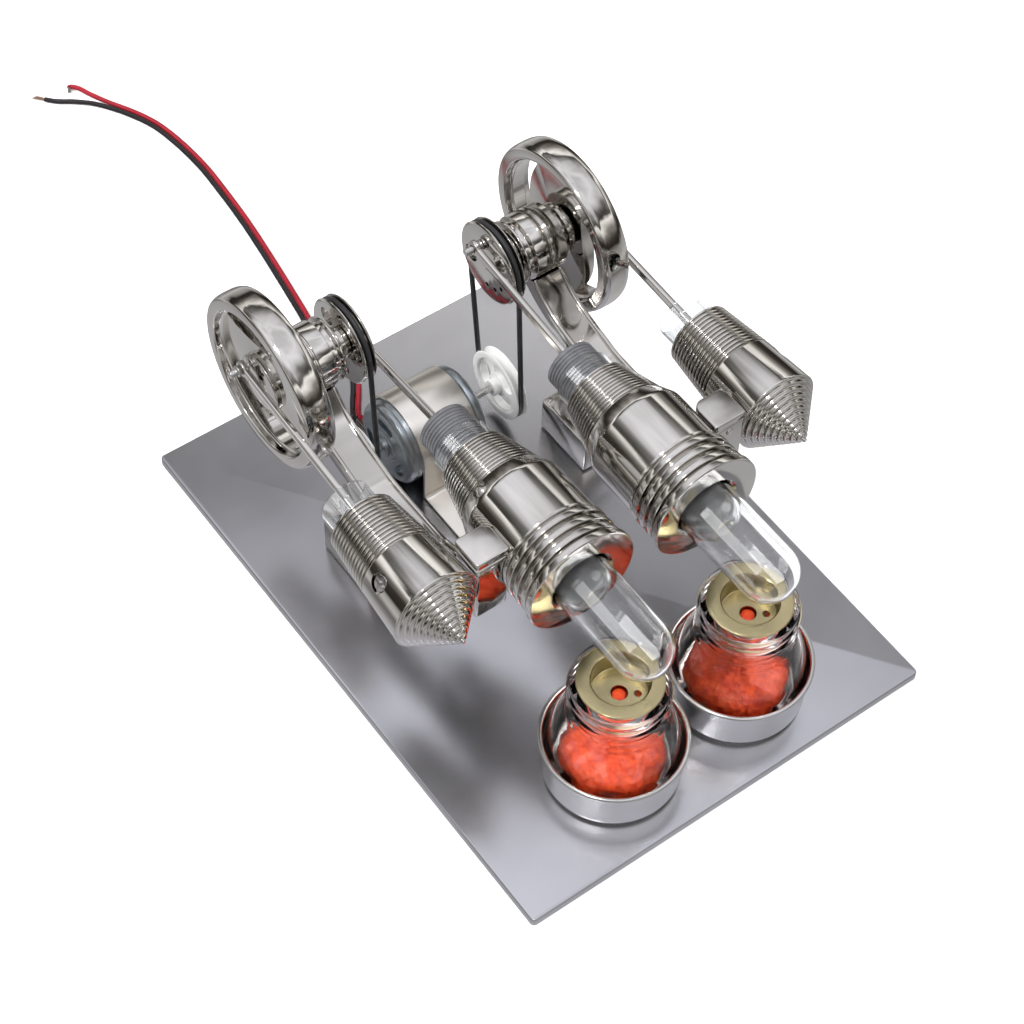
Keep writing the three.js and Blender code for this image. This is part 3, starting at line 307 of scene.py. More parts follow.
def slab(outline: Sequence[tuple], start: float, end: float, axis: Axis) -> Solid:
    """An outline pushed along an axis.

    Args:
        outline: points round the outline, in the two other axes in x, y, z order
            (y and z for X, x and z for Y, x and y for Z).
        start: where it starts along the axis.
        end: where it ends.
        axis: direction of the push.

    Returns:
        The solid, with its faces pointing out.
    """
    others = [i for i in range(3) if i != axis.value]
    count = len(outline)
    points = np.zeros((count * 2, 3))
    for k, along in enumerate((start, end)):
        rows = slice(k * count, (k + 1) * count)
        points[rows, axis.value] = along
        points[rows, others[0]] = [p[0] for p in outline]
        points[rows, others[1]] = [p[1] for p in outline]
    faces = [tuple(range(count))[::-1], tuple(range(count, 2 * count))]
    for i in range(count):
        n = (i + 1) % count
        faces.append((i, n, n + count, i + count))
    solid = Solid(points, faces)
    return solid if volume(solid) > 0 else Solid(points, [f[::-1] for f in faces])


def arc(centre: tuple, radius: float, start: float, end: float, steps: int) -> list:
    """Points along an arc, angles in degrees."""
    turn = np.radians(np.linspace(start, end, steps))
    return [(centre[0] + radius * math.cos(t), centre[1] + radius * math.sin(t)) for t in turn]


def kidney(centre: tuple, inner: float, outer: float, start: float, end: float) -> list:
    """The outline of a curved slot with round ends, angles in degrees."""
    middle, half = (inner + outer) / 2, (outer - inner) / 2
    swing = math.degrees(half / middle)
    a, b = start + swing, end - swing

    def tip(angle: float, first: float) -> list:
        """One round end."""
        t = math.radians(angle)
        point = (centre[0] + middle * math.cos(t), centre[1] + middle * math.sin(t))
        return arc(point, half, angle + first, angle + first + 180, 9)[1:-1]

    return (
        arc(centre, outer, a, b, 28) + tip(b, 0) + arc(centre, inner, b, a, 28) + tip(a, 180)
    )


def loop(path: np.ndarray, outward: np.ndarray, section: Sequence[tuple], closed: bool) -> Solid:
    """A section carried along a path.

    Args:
        path: points of the path, one row each.
        outward: the section's first direction at each point.
        section: (outward, sideways) points round the section.
        closed: True if the path joins its start.

    Returns:
        The solid.
    """
    count, sides = len(path), len(section)
    nexts = np.roll(path, -1, 0) if closed else np.vstack([path[1:], 2 * path[-1] - path[-2]])
    lasts = np.roll(path, 1, 0) if closed else np.vstack([2 * path[0] - path[1], path[:-1]])
    along = nexts - lasts
    along /= np.linalg.norm(along, axis=1)[:, None]
    out = outward - (outward * along).sum(1)[:, None] * along
    out /= np.linalg.norm(out, axis=1)[:, None]
    side = np.cross(along, out)
    points = np.vstack([
        p + np.outer([s[0] for s in section], o) + np.outer([s[1] for s in section], w)
        for p, o, w in zip(path, out, side)
    ])
    faces = []
    for i in range(count if closed else count - 1):
        for k in range(sides):
            a, b = i * sides, ((i + 1) % count) * sides
            n = (k + 1) % sides
            faces.append((a + k, a + n, b + n, b + k))
    if not closed:
        faces += [tuple(range(sides))[::-1], tuple(range((count - 1) * sides, count * sides))]
    solid = Solid(points, faces)
    return solid if volume(solid) > 0 else Solid(points, [f[::-1] for f in faces])


# ---------------------------------------------------------------- finishes


class Recipe:
    """The node sheet of one material."""

    def __init__(self, name: str) -> None:
        """Starts a sheet with one shader wired to the output."""
        self.material = bpy.data.materials.new(name)
        self.material.use_nodes = True
        self.tree = self.material.node_tree
        self.tree.nodes.clear()
        self.shader = self.node("ShaderNodeBsdfPrincipled")
        output = self.node("ShaderNodeOutputMaterial")
        self.tree.links.new(self.shader.outputs[0], output.inputs[0])
        self.place = self.node("ShaderNodeTexCoord").outputs["Object"]

    def node(self, kind: str, **settings) -> bpy.types.Node:
        """A new node with the given settings."""
        made = self.tree.nodes.new(kind)
        for key, value in settings.items():
            setattr(made, key, value)
        return made

    def wire(self, source: Socket, target: Socket) -> None:
        """Joins an output to an input."""
        self.tree.links.new(source, target)

    def fix(self, **values) -> None:
        """Sets plain numbers and colours on the shader itself."""
        for key, value in values.items():
            self.shader.inputs[key.replace("_", " ")].default_value = value

    def stretched(self, x: float, y: float, z: float) -> Socket:
        """Object coordinates stretched by the three factors."""
        made = self.node("ShaderNodeMapping")
        made.inputs["Scale"].default_value = (x, y, z)
        self.wire(self.place, made.inputs["Vector"])
        return made.outputs[0]

    def about(self, axis: Axis, centre: Sequence[float], across: float,
              along: float) -> Socket:
        """Coordinates that run outward from an axis and along it.

        Args:
            axis: the axis of the turned piece.
            centre: a point on it, in millimetres.
            across: marks per metre outward.
            along: marks per metre along the axis.

        Returns:
            The vector output.
        """
        shift = self.node("ShaderNodeVectorMath", operation="SUBTRACT")
        self.wire(self.place, shift.inputs[0])
        shift.inputs[1].default_value = [c * MM for c in centre]
        split = self.node("ShaderNodeSeparateXYZ")
        self.wire(shift.outputs[0], split.inputs[0])
        others = [i for i in range(3) if i != axis.value]
        flat = self.node("ShaderNodeCombineXYZ")
        self.wire(split.outputs[others[0]], flat.inputs[0])
        self.wire(split.outputs[others[1]], flat.inputs[1])
        length = self.node("ShaderNodeVectorMath", operation="LENGTH")
        self.wire(flat.outputs[0], length.inputs[0])
        pair = self.node("ShaderNodeCombineXYZ")
        for source, factor, slot in (
            (length.outputs["Value"], across, 0),
            (split.outputs[axis.value], along, 1),
        ):
            times = self.node("ShaderNodeMath", operation="MULTIPLY")
            times.inputs[1].default_value = factor
            self.wire(source, times.inputs[0])
            self.wire(times.outputs[0], pair.inputs[slot])
        return pair.outputs[0]

    def noise(self, vector: Socket, scale: float, detail: float = 3,
              rough: float = 0.5) -> Socket:
        """Cloudy noise from 0 to 1."""
        made = self.node("ShaderNodeTexNoise")
        made.inputs["Scale"].default_value = scale
        made.inputs["Detail"].default_value = detail
        made.inputs["Roughness"].default_value = rough
        self.wire(vector, made.inputs["Vector"])
        return made.outputs[0]

    def cells(self, vector: Socket, scale: float) -> Socket:
        """Distance to the nearest grain."""
        made = self.node("ShaderNodeTexVoronoi")
        made.inputs["Scale"].default_value = scale
        self.wire(vector, made.inputs["Vector"])
        return made.outputs["Distance"]

    def spread(self, value: Socket, low: float, high: float, start: float = 0.3,
               end: float = 0.7) -> Socket:
        """A value carried from the range start..end to low..high."""
        made = self.node("ShaderNodeMapRange")
        for name, number in zip(
            ("From Min", "From Max", "To Min", "To Max"), (start, end, low, high)
        ):
            made.inputs[name].default_value = number
        self.wire(value, made.inputs["Value"])
        return made.outputs[0]

    def blend(self, value: Socket, first: Sequence[float], second: Sequence[float]) -> Socket:
        """A colour between two, by a value from 0 to 1."""
        made = self.node("ShaderNodeValToRGB")
        made.color_ramp.elements[0].position = 0.3
        made.color_ramp.elements[1].position = 0.7
        made.color_ramp.elements[0].color = (*first, 1)
        made.color_ramp.elements[1].color = (*second, 1)
        self.wire(value, made.inputs[0])
        return made.outputs[0]

    def relief(self, *layers: tuple) -> None:
        """Adds fine relief to the surface.

        Args:
            layers: a height output, its strength and its depth in millimetres, each.
        """
        last = None
        for height, strength, depth in layers:
            bump = self.node("ShaderNodeBump")
            bump.inputs["Strength"].default_value = strength
            bump.inputs["Distance"].default_value = depth * MM
            self.wire(height, bump.inputs["Height"])
            if last is not None:
                self.wire(last, bump.inputs["Normal"])
            last = bump.outputs[0]
        self.wire(last, self.shader.inputs["Normal"])

    def use(self, value: Socket, name: str) -> None:
        """Wires an output to one of the shader's inputs."""
        self.wire(value, self.shader.inputs[name])


@dataclass(frozen=True)
class Finish:
    """What a surface is made of.

    Args:
        label: the material's name.
        slot: a material slot name; not used.
    """

    label: str
    slot: str

    def material(self) -> bpy.types.Material:
        """The Blender material of this finish."""
        raise NotImplementedError


@dataclass(frozen=True)
class Metal(Finish):
    """A plated or bare metal with turning, brushing or polishing marks."""

    light: tuple = (0.76, 0.74, 0.71)
    dark: tuple = (0.56, 0.54, 0.51)
    rough: tuple = (0.04, 0.12)
    axis: Optional[Axis] = None
    centre: tuple = (0, 0, 0)
    marks: float = 0.012
    grain: tuple = (900, 900, 900)
    grain_strength: float = 0.008
    smudge: float = 90

    def material(self) -> bpy.types.Material:
        """Metal with slow tone changes, smudges and directional marks."""
        r = Recipe(self.label)
        r.fix(Metallic=1.0, IOR=1.5)
        cloud = r.noise(r.place, self.smudge, 4, 0.6)
        r.use(r.blend(r.noise(r.place, 38, 2), self.dark, self.light), "Base Color")
        fine = r.noise(r.stretched(*self.grain), 1, 3, 0.6)
        layers = [(fine, self.grain_strength, 0.1)]
        if self.axis is not None:
            rings = r.noise(r.about(self.axis, self.centre, 5200, 5200), 1, 2, 0.7)
            layers.append((rings, self.marks, 0.2))
        r.use(r.spread(cloud, *self.rough), "Roughness")
        r.relief(*layers)
        return r.material


@dataclass(frozen=True)
class ClearGlass(Finish):
    """Thin clear laboratory glass."""

    tint: tuple = (0.97, 0.975, 0.975)
    rough: tuple = (0.0, 0.02)
    bend: float = 1.4
    clear: float = 1.0

    def material(self) -> bpy.types.Material:
        """Glass with faint drawing lines and a little dust."""
        r = Recipe(self.label)
        r.fix(Transmission_Weight=self.clear, IOR=self.bend, Base_Color=(*self.tint, 1))
        dust = r.noise(r.place, 420, 5, 0.7)
        r.use(r.spread(dust, self.rough[0], self.rough[1], 0.5, 0.8), "Roughness")
        r.relief((r.noise(r.stretched(300, 40, 300), 1, 1), 0.02, 0.2))
        return r.material


@dataclass(frozen=True)
class Carbon(Finish):
    """Machined graphite of the pistons."""

    tone: tuple = (0.085, 0.087, 0.095)
    pale: tuple = (0.15, 0.152, 0.16)

    def material(self) -> bpy.types.Material:
        """Dark grey with a soft sheen and fine pores."""
        r = Recipe(self.label)
        r.fix(Metallic=0.25, IOR=1.9)
        r.use(r.blend(r.noise(r.place, 260, 4, 0.7), self.tone, self.pale), "Base Color")
        r.use(r.spread(r.noise(r.place, 120, 3), 0.28, 0.45), "Roughness")
        r.relief((r.noise(r.stretched(400, 5200, 400), 1, 2), 0.05, 0.15),
                 (r.cells(r.place, 2600), 0.05, 0.05))
        return r.material


@dataclass(frozen=True)
class Plastic(Finish):
    """Moulded plastic, rubber or wire insulation."""

    tone: tuple = (0.8, 0.8, 0.78)
    worn: tuple = (0.7, 0.7, 0.68)
    rough: tuple = (0.3, 0.42)
    clear: float = 0.0
    deep: float = 0.0
    grain: float = 900
    strength: float = 0.06

    def material(self) -> bpy.types.Material:
        """Plastic with slight tone changes and a fine moulded grain."""
        r = Recipe(self.label)
        r.fix(IOR=1.5, Transmission_Weight=self.clear, Subsurface_Weight=self.deep)
        r.fix(Subsurface_Radius=(0.004, 0.004, 0.004), Subsurface_Scale=1.0)
        r.use(r.blend(r.noise(r.place, 140, 3), self.worn, self.tone), "Base Color")
        r.use(r.spread(r.noise(r.place, 210, 4), *self.rough), "Roughness")
        r.relief((r.noise(r.place, self.grain, 4, 0.7), self.strength, 0.1))
        return r.material


@dataclass(frozen=True)
class SoakedFilling(Finish):
    """Dyed wadding soaked with spirit, seen through the jar."""

    deep: tuple = (0.48, 0.024, 0.01)
    bright: tuple = (0.86, 0.1, 0.018)

    def material(self) -> bpy.types.Material:
        """Orange-red clumps with wet highlights."""
        r = Recipe(self.label)
        r.fix(IOR=1.36, Coat_Weight=0.2, Coat_Roughness=0.2, Subsurface_Weight=0.15)
        r.fix(Subsurface_Radius=(0.003, 0.001, 0.0005), Subsurface_Scale=1.0)
        grains = r.cells(r.place, 560)
        r.use(r.blend(r.noise(r.place, 330, 5, 0.7), self.deep, self.bright), "Base Color")
        r.use(r.spread(r.noise(r.place, 200, 3), 0.35, 0.6), "Roughness")
        r.relief((grains, 0.5, 0.6), (r.noise(r.place, 1500, 4), 0.3, 0.2))
        return r.material


@dataclass(frozen=True)
class PaleFloor(Finish):
    """The plain table under the model."""

    tone: tuple = (0.93, 0.93, 0.94)

    def material(self) -> bpy.types.Material:
        """Matt white with the faintest unevenness."""
        r = Recipe(self.label)
        r.fix(IOR=1.3, Roughness=0.7)
        low = tuple(c * 0.985 for c in self.tone)
        r.use(r.blend(r.noise(r.place, 6, 2), low, self.tone), "Base Color")
        r.relief((r.noise(r.place, 300, 2), 0.02, 0.1))
        return r.material


NICKEL = Metal("polished_nickel", "nickel")
BRIGHT_STEEL = Metal("ground_steel", "shaft_steel", rough=(0.12, 0.22), light=(0.72, 0.71, 0.7),
                     dark=(0.58, 0.57, 0.56))
PLATE_STEEL = Metal("satin_plate", "plate_steel", light=(0.6, 0.6, 0.635), dark=(0.53, 0.53, 0.56),
                    rough=(0.2, 0.28), grain=(40, 2600, 40), grain_strength=0.05, smudge=25)
TRAY_STEEL = Metal("spun_tray", "tray_steel", light=(0.7, 0.69, 0.69), dark=(0.6, 0.59, 0.58),
                   rough=(0.14, 0.24))
STRAP_NICKEL = Metal("polished_strap", "nickel", light=(0.92, 0.89, 0.83), dark=(0.84, 0.8, 0.73),
                     rough=(0.26, 0.36))
CAN_STEEL = Metal("dull_motor_can", "motor_can", light=(0.43, 0.47, 0.5), dark=(0.33, 0.365, 0.39),
                  rough=(0.26, 0.38), grain=(300, 300, 300), grain_strength=0.03)
BRASS = Metal("turned_brass", "brass", light=(0.62, 0.535, 0.31), dark=(0.43, 0.365, 0.2),
              rough=(0.16, 0.28), marks=0.06)
GLASS = ClearGlass("clear_glass", "glass")
JAR_GLASS = ClearGlass("jar_glass", "glass", (0.985, 0.965, 0.955), (0.0, 0.03), 1.2)
SLEEVE_GLASS = ClearGlass("sleeve_glass", "glass", (0.86, 0.875, 0.88), (0.0, 0.02), 1.5)
CAPSULE_GLASS = ClearGlass("worn_capsule_glass", "glass", (0.84, 0.85, 0.86), (0.02, 0.12), 1.3,
                           0.93)
GRAPHITE = Carbon("machined_graphite", "graphite")
MILKY = Plastic("milky_plastic", "pulley_plastic", tone=(0.86, 0.86, 0.84), worn=(0.78, 0.78, 0.77),
                clear=0.12, deep=0.35)
RUBBER = Plastic("belt_rubber", "belt_rubber", tone=(0.012, 0.012, 0.013), worn=(0.02, 0.02, 0.022),
                 rough=(0.28, 0.42))
RED_COVER = Plastic("red_cover", "red_insulation", tone=(0.27, 0.008, 0.018), worn=(0.19,
                    0.006, 0.013),
                    rough=(0.3, 0.42))
BLACK_COVER = Plastic("black_cover", "black_insulation", tone=(0.006, 0.005, 0.006),
                      worn=(0.012, 0.009, 0.011), rough=(0.3, 0.42))
FILLING = SoakedFilling("soaked_filling", "filling")
FLOOR = PaleFloor("pale_floor", "")


# ---------------------------------------------------------------- placing


@dataclass(frozen=True)
class Room:
    """The space that a frame node fills, in millimetres, as if on the right side."""

    low: np.ndarray
    high: np.ndarray

    @classmethod
    def of(cls, node: str, side: Side = Side.RIGHT) -> "Room":
        """Reads a node's space and mirrors it if the side is the left."""
        low, high = (np.array(corner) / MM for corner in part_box(node))
        if side is Side.LEFT:
            low[0], high[0] = -high[0], -low[0]
        return cls(low, high)

    @property
    def middle(self) -> np.ndarray:
        """The middle of the space."""
        return (self.low + self.high) / 2

    @property
    def size(self) -> np.ndarray:
        """The size of the space along x, y and z."""
        return self.high - self.low


class Bench:
    """Turns solids into dressed pieces that ride on the frame."""

    def __init__(self) -> None:
        """Starts with no materials made."""
        self.made: dict = {}

    def material(self, finish: Finish) -> bpy.types.Material:
        """The material of a finish, made once."""
        if finish not in self.made:
            self.made[finish] = finish.material()
        return self.made[finish]

    def dress(self, item: bpy.types.Object, finish: Finish, body: str, nodes: Sequence[str]) -> bpy.types.Object:
        """Gives an object its material and its body, and hides the frame nodes it stands for.

        Args:
            item: the Blender object.
            finish: its finish.
            body: the frame body it rides on.
            nodes: frame nodes it stands for.

        Returns:
            The same object.
        """
        item.data.materials.append(self.material(finish))
        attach(item, body)
        if nodes:
            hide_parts(*nodes)
        LOG.info("made %s on %s", item.name, body)
        return item

    def place(self, name: str, solid: Solid, finish: Finish, body: str,
              nodes: Sequence[str] = (), sharp: float = 32) -> bpy.types.Object:
        """Makes a piece from a solid.

        Args:
            name: the piece's name.
            solid: its shape in millimetres.
            finish: its finish.
            body: the frame body it rides on.
            nodes: frame nodes it stands for.
            sharp: edges sharper than this many degrees stay crisp.

        Returns:
            The new object.
        """
        mesh = solid.mesh(name)
        mesh.polygons.foreach_set("use_smooth", [True] * len(mesh.polygons))
        mesh.set_sharp_from_angle(angle=math.radians(sharp))
        item = bpy.data.objects.new(name, mesh)
        bpy.context.scene.collection.objects.link(item)
        return self.dress(item, finish, body, nodes)


@dataclass
class Assembly:
    """Pieces built in right-hand coordinates and mirrored for the left side.

    Args:
        bench: where the pieces are made.
        side: which engine it is.
    """

    bench: Bench
    side: Side = Side.RIGHT

    def room(self, node: str) -> Room:
        """The space of one of this side's nodes."""
        return Room.of(f"{self.side.word}_{node}", self.side)

    def true_point(self, x: float, y: float, z: float) -> tuple:
        """A right-hand point as it is on this side."""
        return (x * self.side.value, y, z)

    def place(self, piece: str, solid: Solid, finish: Finish, body: str,
              nodes: Sequence[str] = (), sharp: float = 32) -> bpy.types.Object:
        """Places a piece on this side; see Bench.place."""
        shape = solid if self.side is Side.RIGHT else solid.mirrored()
        owner = body if body == "base" else f"{self.side.word}_{body}"
        stands = [f"{self.side.word}_{n}" for n in nodes]
        return self.bench.place(f"{self.side.word}_{piece}", shape, finish, owner, stands, sharp)

    def turned_metal(self, base: Metal, axis: Axis, centre: Sequence[float],
                     marks: float = 0.012, rough: Optional[tuple] = None) -> Metal:
        """A metal with turning marks about one of this side's axes."""
        at = self.true_point(*[float(c) for c in centre])
        label = f"{base.label}_{self.side.word}_{axis.name.lower()}{abs(int(at[0] * 10))}"
        return Metal(label, base.slot, base.light, base.dark, rough or base.rough, axis,
                     tuple(round(c, 3) for c in at), marks, base.grain, base.grain_strength,
                     base.smudge)


# ---------------------------------------------------------------- camera, light and floor


@dataclass
class CameraRig:
    """The camera's place, directions and lens."""

    position: tuple = (-0.242713, -0.299143, 0.551173)
    right: tuple = (0.80768924, -0.58895468, 0.02775745)
    up: tuple = (0.46226984, 0.66177163, 0.59022445)
    forward: tuple = (0.36598454, 0.46388651, -0.80676181)
    lens: float = 87.0

    def build(self) -> None:
        """Makes the camera and sets it as the scene's."""
        data = bpy.data.cameras.new("studio_camera")
        data.lens = self.lens
        data.sensor_width = 36
        data.clip_start = 0.02
        data.clip_end = 20
        item = bpy.data.objects.new("studio_camera", data)
        back = [-c for c in self.forward]
        columns = (self.right, self.up, back)
        turn = Matrix([[column[i] for column in columns] for i in range(3)]).to_4x4()
        item.matrix_world = Matrix.Translation(self.position) @ turn
        bpy.context.scene.collection.objects.link(item)
        bpy.context.scene.camera = item


@dataclass
class Studio:
    """Pale floor, soft light from above and darker walls for the metal to mirror."""

    bench: Bench
    floor_half: float = 2.5
    sky: float = 1.0
    patch_scale: float = 2.6
    patch_detail: float = 2
    patch_reach: float = 0.24
    stops: tuple = (
        (0.0, (0.6, 0.6, 0.61)),
        (0.14, (0.46, 0.46, 0.47)),
        (0.24, (0.2, 0.195, 0.19)),
        (0.34, (0.66, 0.655, 0.65)),
        (0.46, (0.36, 0.35, 0.34)),
        (0.53, (0.02, 0.017, 0.015)),
        (0.6, (0.06, 0.05, 0.042)),
        (0.66, (0.3, 0.285, 0.27)),
        (0.71, (0.9, 0.88, 0.85)),
        (0.745, (1.35, 1.33, 1.3)),
        (0.77, (0.05, 0.046, 0.043)),
        (0.83, (0.26, 0.255, 0.25)),
        (0.88, (0.72, 0.72, 0.76)),
        (0.95, (1.08, 1.08, 1.14)),
        (1.0, (0.76, 0.76, 0.8)),
    )
    lamps: tuple = (
        ("key_panel", (-1.3, 0.6, 1.3), (1.7, 1.3), 62, False),
        ("fill_panel", (1.2, -0.9, 1.2), (1.5, 1.2), 36, False),
        ("spark_panel", (-0.5, -0.2, 1.5), (0.22, 0.16), 3, True),
    )

    def floor(self) -> None:
        """Lays the floor, hidden from glossy rays."""
        h = self.floor_half / MM
        shape = block((-h, h), (-h, h), (-20, 0)).mesh("floor")
        item = bpy.data.objects.new("floor", shape)
        item.data.materials.append(self.bench.material(FLOOR))
        item.visible_glossy = False
        bpy.context.scene.collection.objects.link(item)

    def world(self) -> None:
        """Surrounds the model with bright and dark bands, broken up softly."""
        world = bpy.data.worlds.new("studio_walls")
        bpy.context.scene.world = world
        world.use_nodes = True
        tree = world.node_tree
        tree.nodes.clear()
        new = tree.nodes.new
        place = new("ShaderNodeTexCoord")
        split = new("ShaderNodeSeparateXYZ")
        noise = new("ShaderNodeTexNoise")
        noise.inputs["Scale"].default_value = self.patch_scale
        noise.inputs["Detail"].default_value = self.patch_detail
        scale, half = (new("ShaderNodeMath") for _ in range(2))
        for math_node, factor, shift in ((scale, self.patch_reach, -self.patch_reach / 2),
                                         (half, 0.5, 0.5)):
            math_node.operation = "MULTIPLY_ADD"
            math_node.inputs[1].default_value = factor
            math_node.inputs[2].default_value = shift
        add = new("ShaderNodeMath")
        ramp = new("ShaderNodeValToRGB")
        back = new("ShaderNodeBackground")
        out = new("ShaderNodeOutputWorld")
        link = tree.links.new
        link(place.outputs["Generated"], split.inputs[0])
        link(place.outputs["Generated"], noise.inputs["Vector"])
        link(split.outputs["Z"], half.inputs[0])
        link(noise.outputs[0], scale.inputs[0])
        link(half.outputs[0], add.inputs[0])
        link(scale.outputs[0], add.inputs[1])
        link(add.outputs[0], ramp.inputs[0])
        stops = ramp.color_ramp.elements
        while len(stops) < len(self.stops):
            stops.new(0.5)
        for stop, (place_at, tone) in zip(stops, self.stops):
            stop.position, stop.color = place_at, (*tone, 1)
        link(ramp.outputs[0], back.inputs[0])
        back.inputs[1].default_value = self.sky
        link(back.outputs[0], out.inputs[0])

    def build(self) -> None:
        """Makes the floor, the surroundings and the lamps."""
        self.floor()
        self.world()
        bpy.context.scene.view_settings.view_transform = "Standard"
        for name, place, size, power, mirrored in self.lamps:
            data = bpy.data.lights.new(name, "AREA")
            data.shape, data.energy = "RECTANGLE", power
            data.size, data.size_y = size
            item = bpy.data.objects.new(name, data)
            item.location = place
            item.visible_glossy = mirrored
            aim = Vector((0, 0, 0.04)) - Vector(place)
            item.rotation_euler = aim.to_track_quat("-Z", "Y").to_euler()
            bpy.context.scene.collection.objects.link(item)


# ---------------------------------------------------------------- supply wires


def smooth_path(points: Sequence[Sequence[float]], steps: int) -> np.ndarray:
    """A smooth curve through points.

    Args:
        points: where the curve passes.
        steps: samples in each stretch between two points.

    Returns:
        The samples, one row each.
    """
    given = np.array(points, float)
    ends = np.vstack([2 * given[0] - given[1], given, 2 * given[-1] - given[-2]])
    made = []
    for i in range(1, len(ends) - 2):
        p0, p1, p2, p3 = ends[i - 1: i + 3]
        d0, d1, d2 = (max(np.linalg.norm(b - a) ** 0.5, 1e-4)
                      for a, b in ((p0, p1), (p1, p2), (p2, p3)))
        m1 = d1 * ((p1 - p0) / d0 - (p2 - p0) / (d0 + d1) + (p2 - p1) / d1)
        m2 = d1 * ((p2 - p1) / d1 - (p3 - p1) / (d1 + d2) + (p3 - p2) / d2)
        for k in range(steps):
            t = k / steps
            a, b = 2 * t ** 3 - 3 * t ** 2 + 1, t ** 3 - 2 * t ** 2 + t
            c, d = -2 * t ** 3 + 3 * t ** 2, t ** 3 - t ** 2
            made.append(a * p1 + b * m1 + c * p2 + d * m2)
    return np.vstack([made, given[-1]])


@dataclass
class SupplyWires:
    """The red and black wires that run off the plate's rear edge."""

    bench: Bench
    radius: float = 0.75
    spacing: float = 1.64
    table: float = 0.9
    strand: float = 0.13
    route: tuple = (
        (-13, 63.4, 9.5), (-11.5, 66.5, 6), (-8.4, 71.5, 4.05), (-4.2, 77.5, 4.05),
        (-1.2, 83.5, 4.05), (-0.1, 89.7, 4.05), (-0.5, 93.6, 3.6), (-1.4, 99, 1.4),
        (-1.5, 105.5, 0.9), (-0.6, 111.6, 0.9), (1, 121.9, 0.9), (3, 135.8, 0.9),
        (4.8, 150.2, 0.9), (6, 165.4, 0.9), (6.5, 177.3, 0.9), (5.7, 190.2, 0.9),
        (4.1, 199.6, 0.9),
    )
    red_tail: tuple = ((3.1, 205.2), (0.4, 211), (-3, 217.2), (-5.9, 223.5), (-7.9, 228.4),
                       (-9.6, 229.8), (-10.9, 227.6))
    black_tail: tuple = ((1.5, 204.7), (-1.9, 211.6), (-6.9, 219), (-11.4, 223.3),
                         (-16.4, 227), (-21.5, 233.2))

    def stations(self, sign: int, tail: Sequence[tuple]) -> list:
        """The points one wire passes, in millimetres.

        Args:
            sign: which side of the pair's middle line it lies on.
            tail: its own last points on the table.

        Returns:
            The points.
        """
        fine = smooth_path(self.route, 20)
        made = []
        for i, point in enumerate(self.route):
            at = min(max(i * 20, 1), len(fine) - 2)
            along = fine[at + 1] - fine[at - 1]
            across = np.array([along[1], -along[0], 0])
            across /= np.linalg.norm(across)
            made.append(np.array(point, float) + across * sign * self.spacing / 2)
        return made + [np.array([x, y, self.table]) for x, y in tail]

    def tube(self, path: np.ndarray, radius: float, sides: int = 20) -> Solid:
        """A round tube along a path."""
        turn = np.linspace(0, 2 * math.pi, sides, endpoint=False)
        section = [(radius * math.cos(t), radius * math.sin(t)) for t in turn]
        return loop(path, np.tile([0.0, 0.0, 1.0], (len(path), 1)), section, False)

    def strands(self, line: np.ndarray, spread: float, count: int, seed: int) -> Solid:
        """The bare strands at a wire's end.

        Args:
            line: the wire's middle line from just inside its cover to its tip.
            spread: how far apart the tips fan, in millimetres.
            count: number of strands.
            seed: start of the random numbers.

        Returns:
            The bundle.
        """
        random = np.random.default_rng(seed)
        steps = np.linspace(0, 1, len(line))[:, None]
        along = np.gradient(line, axis=0)
        side = np.cross(along, [0, 0, 1.0])
        side /= np.linalg.norm(side, axis=1)[:, None]
        up = np.array([0, 0, 1.0])
        made = []
        for k in range(count):
            turn = 2 * math.pi * k / count
            start = 0.0 if k == 0 else 0.34
            fan = random.uniform(-spread, spread)
            drop = random.uniform(0.1, 0.4)
            path = line + side * (start * math.cos(turn) + fan * steps ** 2)
            path = path + up * (start * math.sin(turn) * (1 - 0.4 * steps) - drop * steps ** 2)
            kept = max(int(len(line) * random.uniform(0.85, 1.0)), 3)
            made.append(self.tube(path[:kept], self.strand, 8))
        return made[0].plus(*made[1:])

    def lay(self, name: str, sign: int, tail: Sequence[tuple], cover: Finish, core: Finish,
            bare: float, spread: float, seed: int) -> None:
        """Lays one wire with its bare end.

        Args:
            name: the wire's name and frame node.
            sign: side of the pair's middle line.
            tail: its last points on the table.
            cover: finish of its insulation.
            core: finish of its strands.
            bare: length of strand that shows.
            spread: how far the strand tips fan.
            seed: start of the strands' random numbers.
        """
        stations = self.stations(sign, tail)
        path = smooth_path(stations, 12)
        steps = np.linalg.norm(np.diff(path, axis=0), axis=1)
        ahead = np.cumsum(steps[::-1])[::-1]
        count = int((ahead > bare).sum()) + 1
        kept = path[:count]
        wire = self.bench.place(f"{name}_cover", self.tube(kept, self.radius), cover, "base",
                                (name,))
        bundle = self.bench.place(f"{name}_strands",
                                  self.strands(path[count - 4:], spread, 9, seed), core, "base")

    def build(self) -> None:
        """Lays both wires."""
        tinned = Metal("tinned_strands", "shaft_steel", rough=(0.25, 0.4))
        copper = Metal("copper_strands", "brass", light=(0.75, 0.5, 0.36), dark=(0.5, 0.3, 0.2),
                       rough=(0.25, 0.4))
        self.lay("wire_red", 1, self.red_tail, RED_COVER, tinned, 2.4, 0.3, 3)
        self.lay("wire_black", -1, self.black_tail, BLACK_COVER, copper, 5.0, 0.9, 8)


# ---------------------------------------------------------------- plate and generators


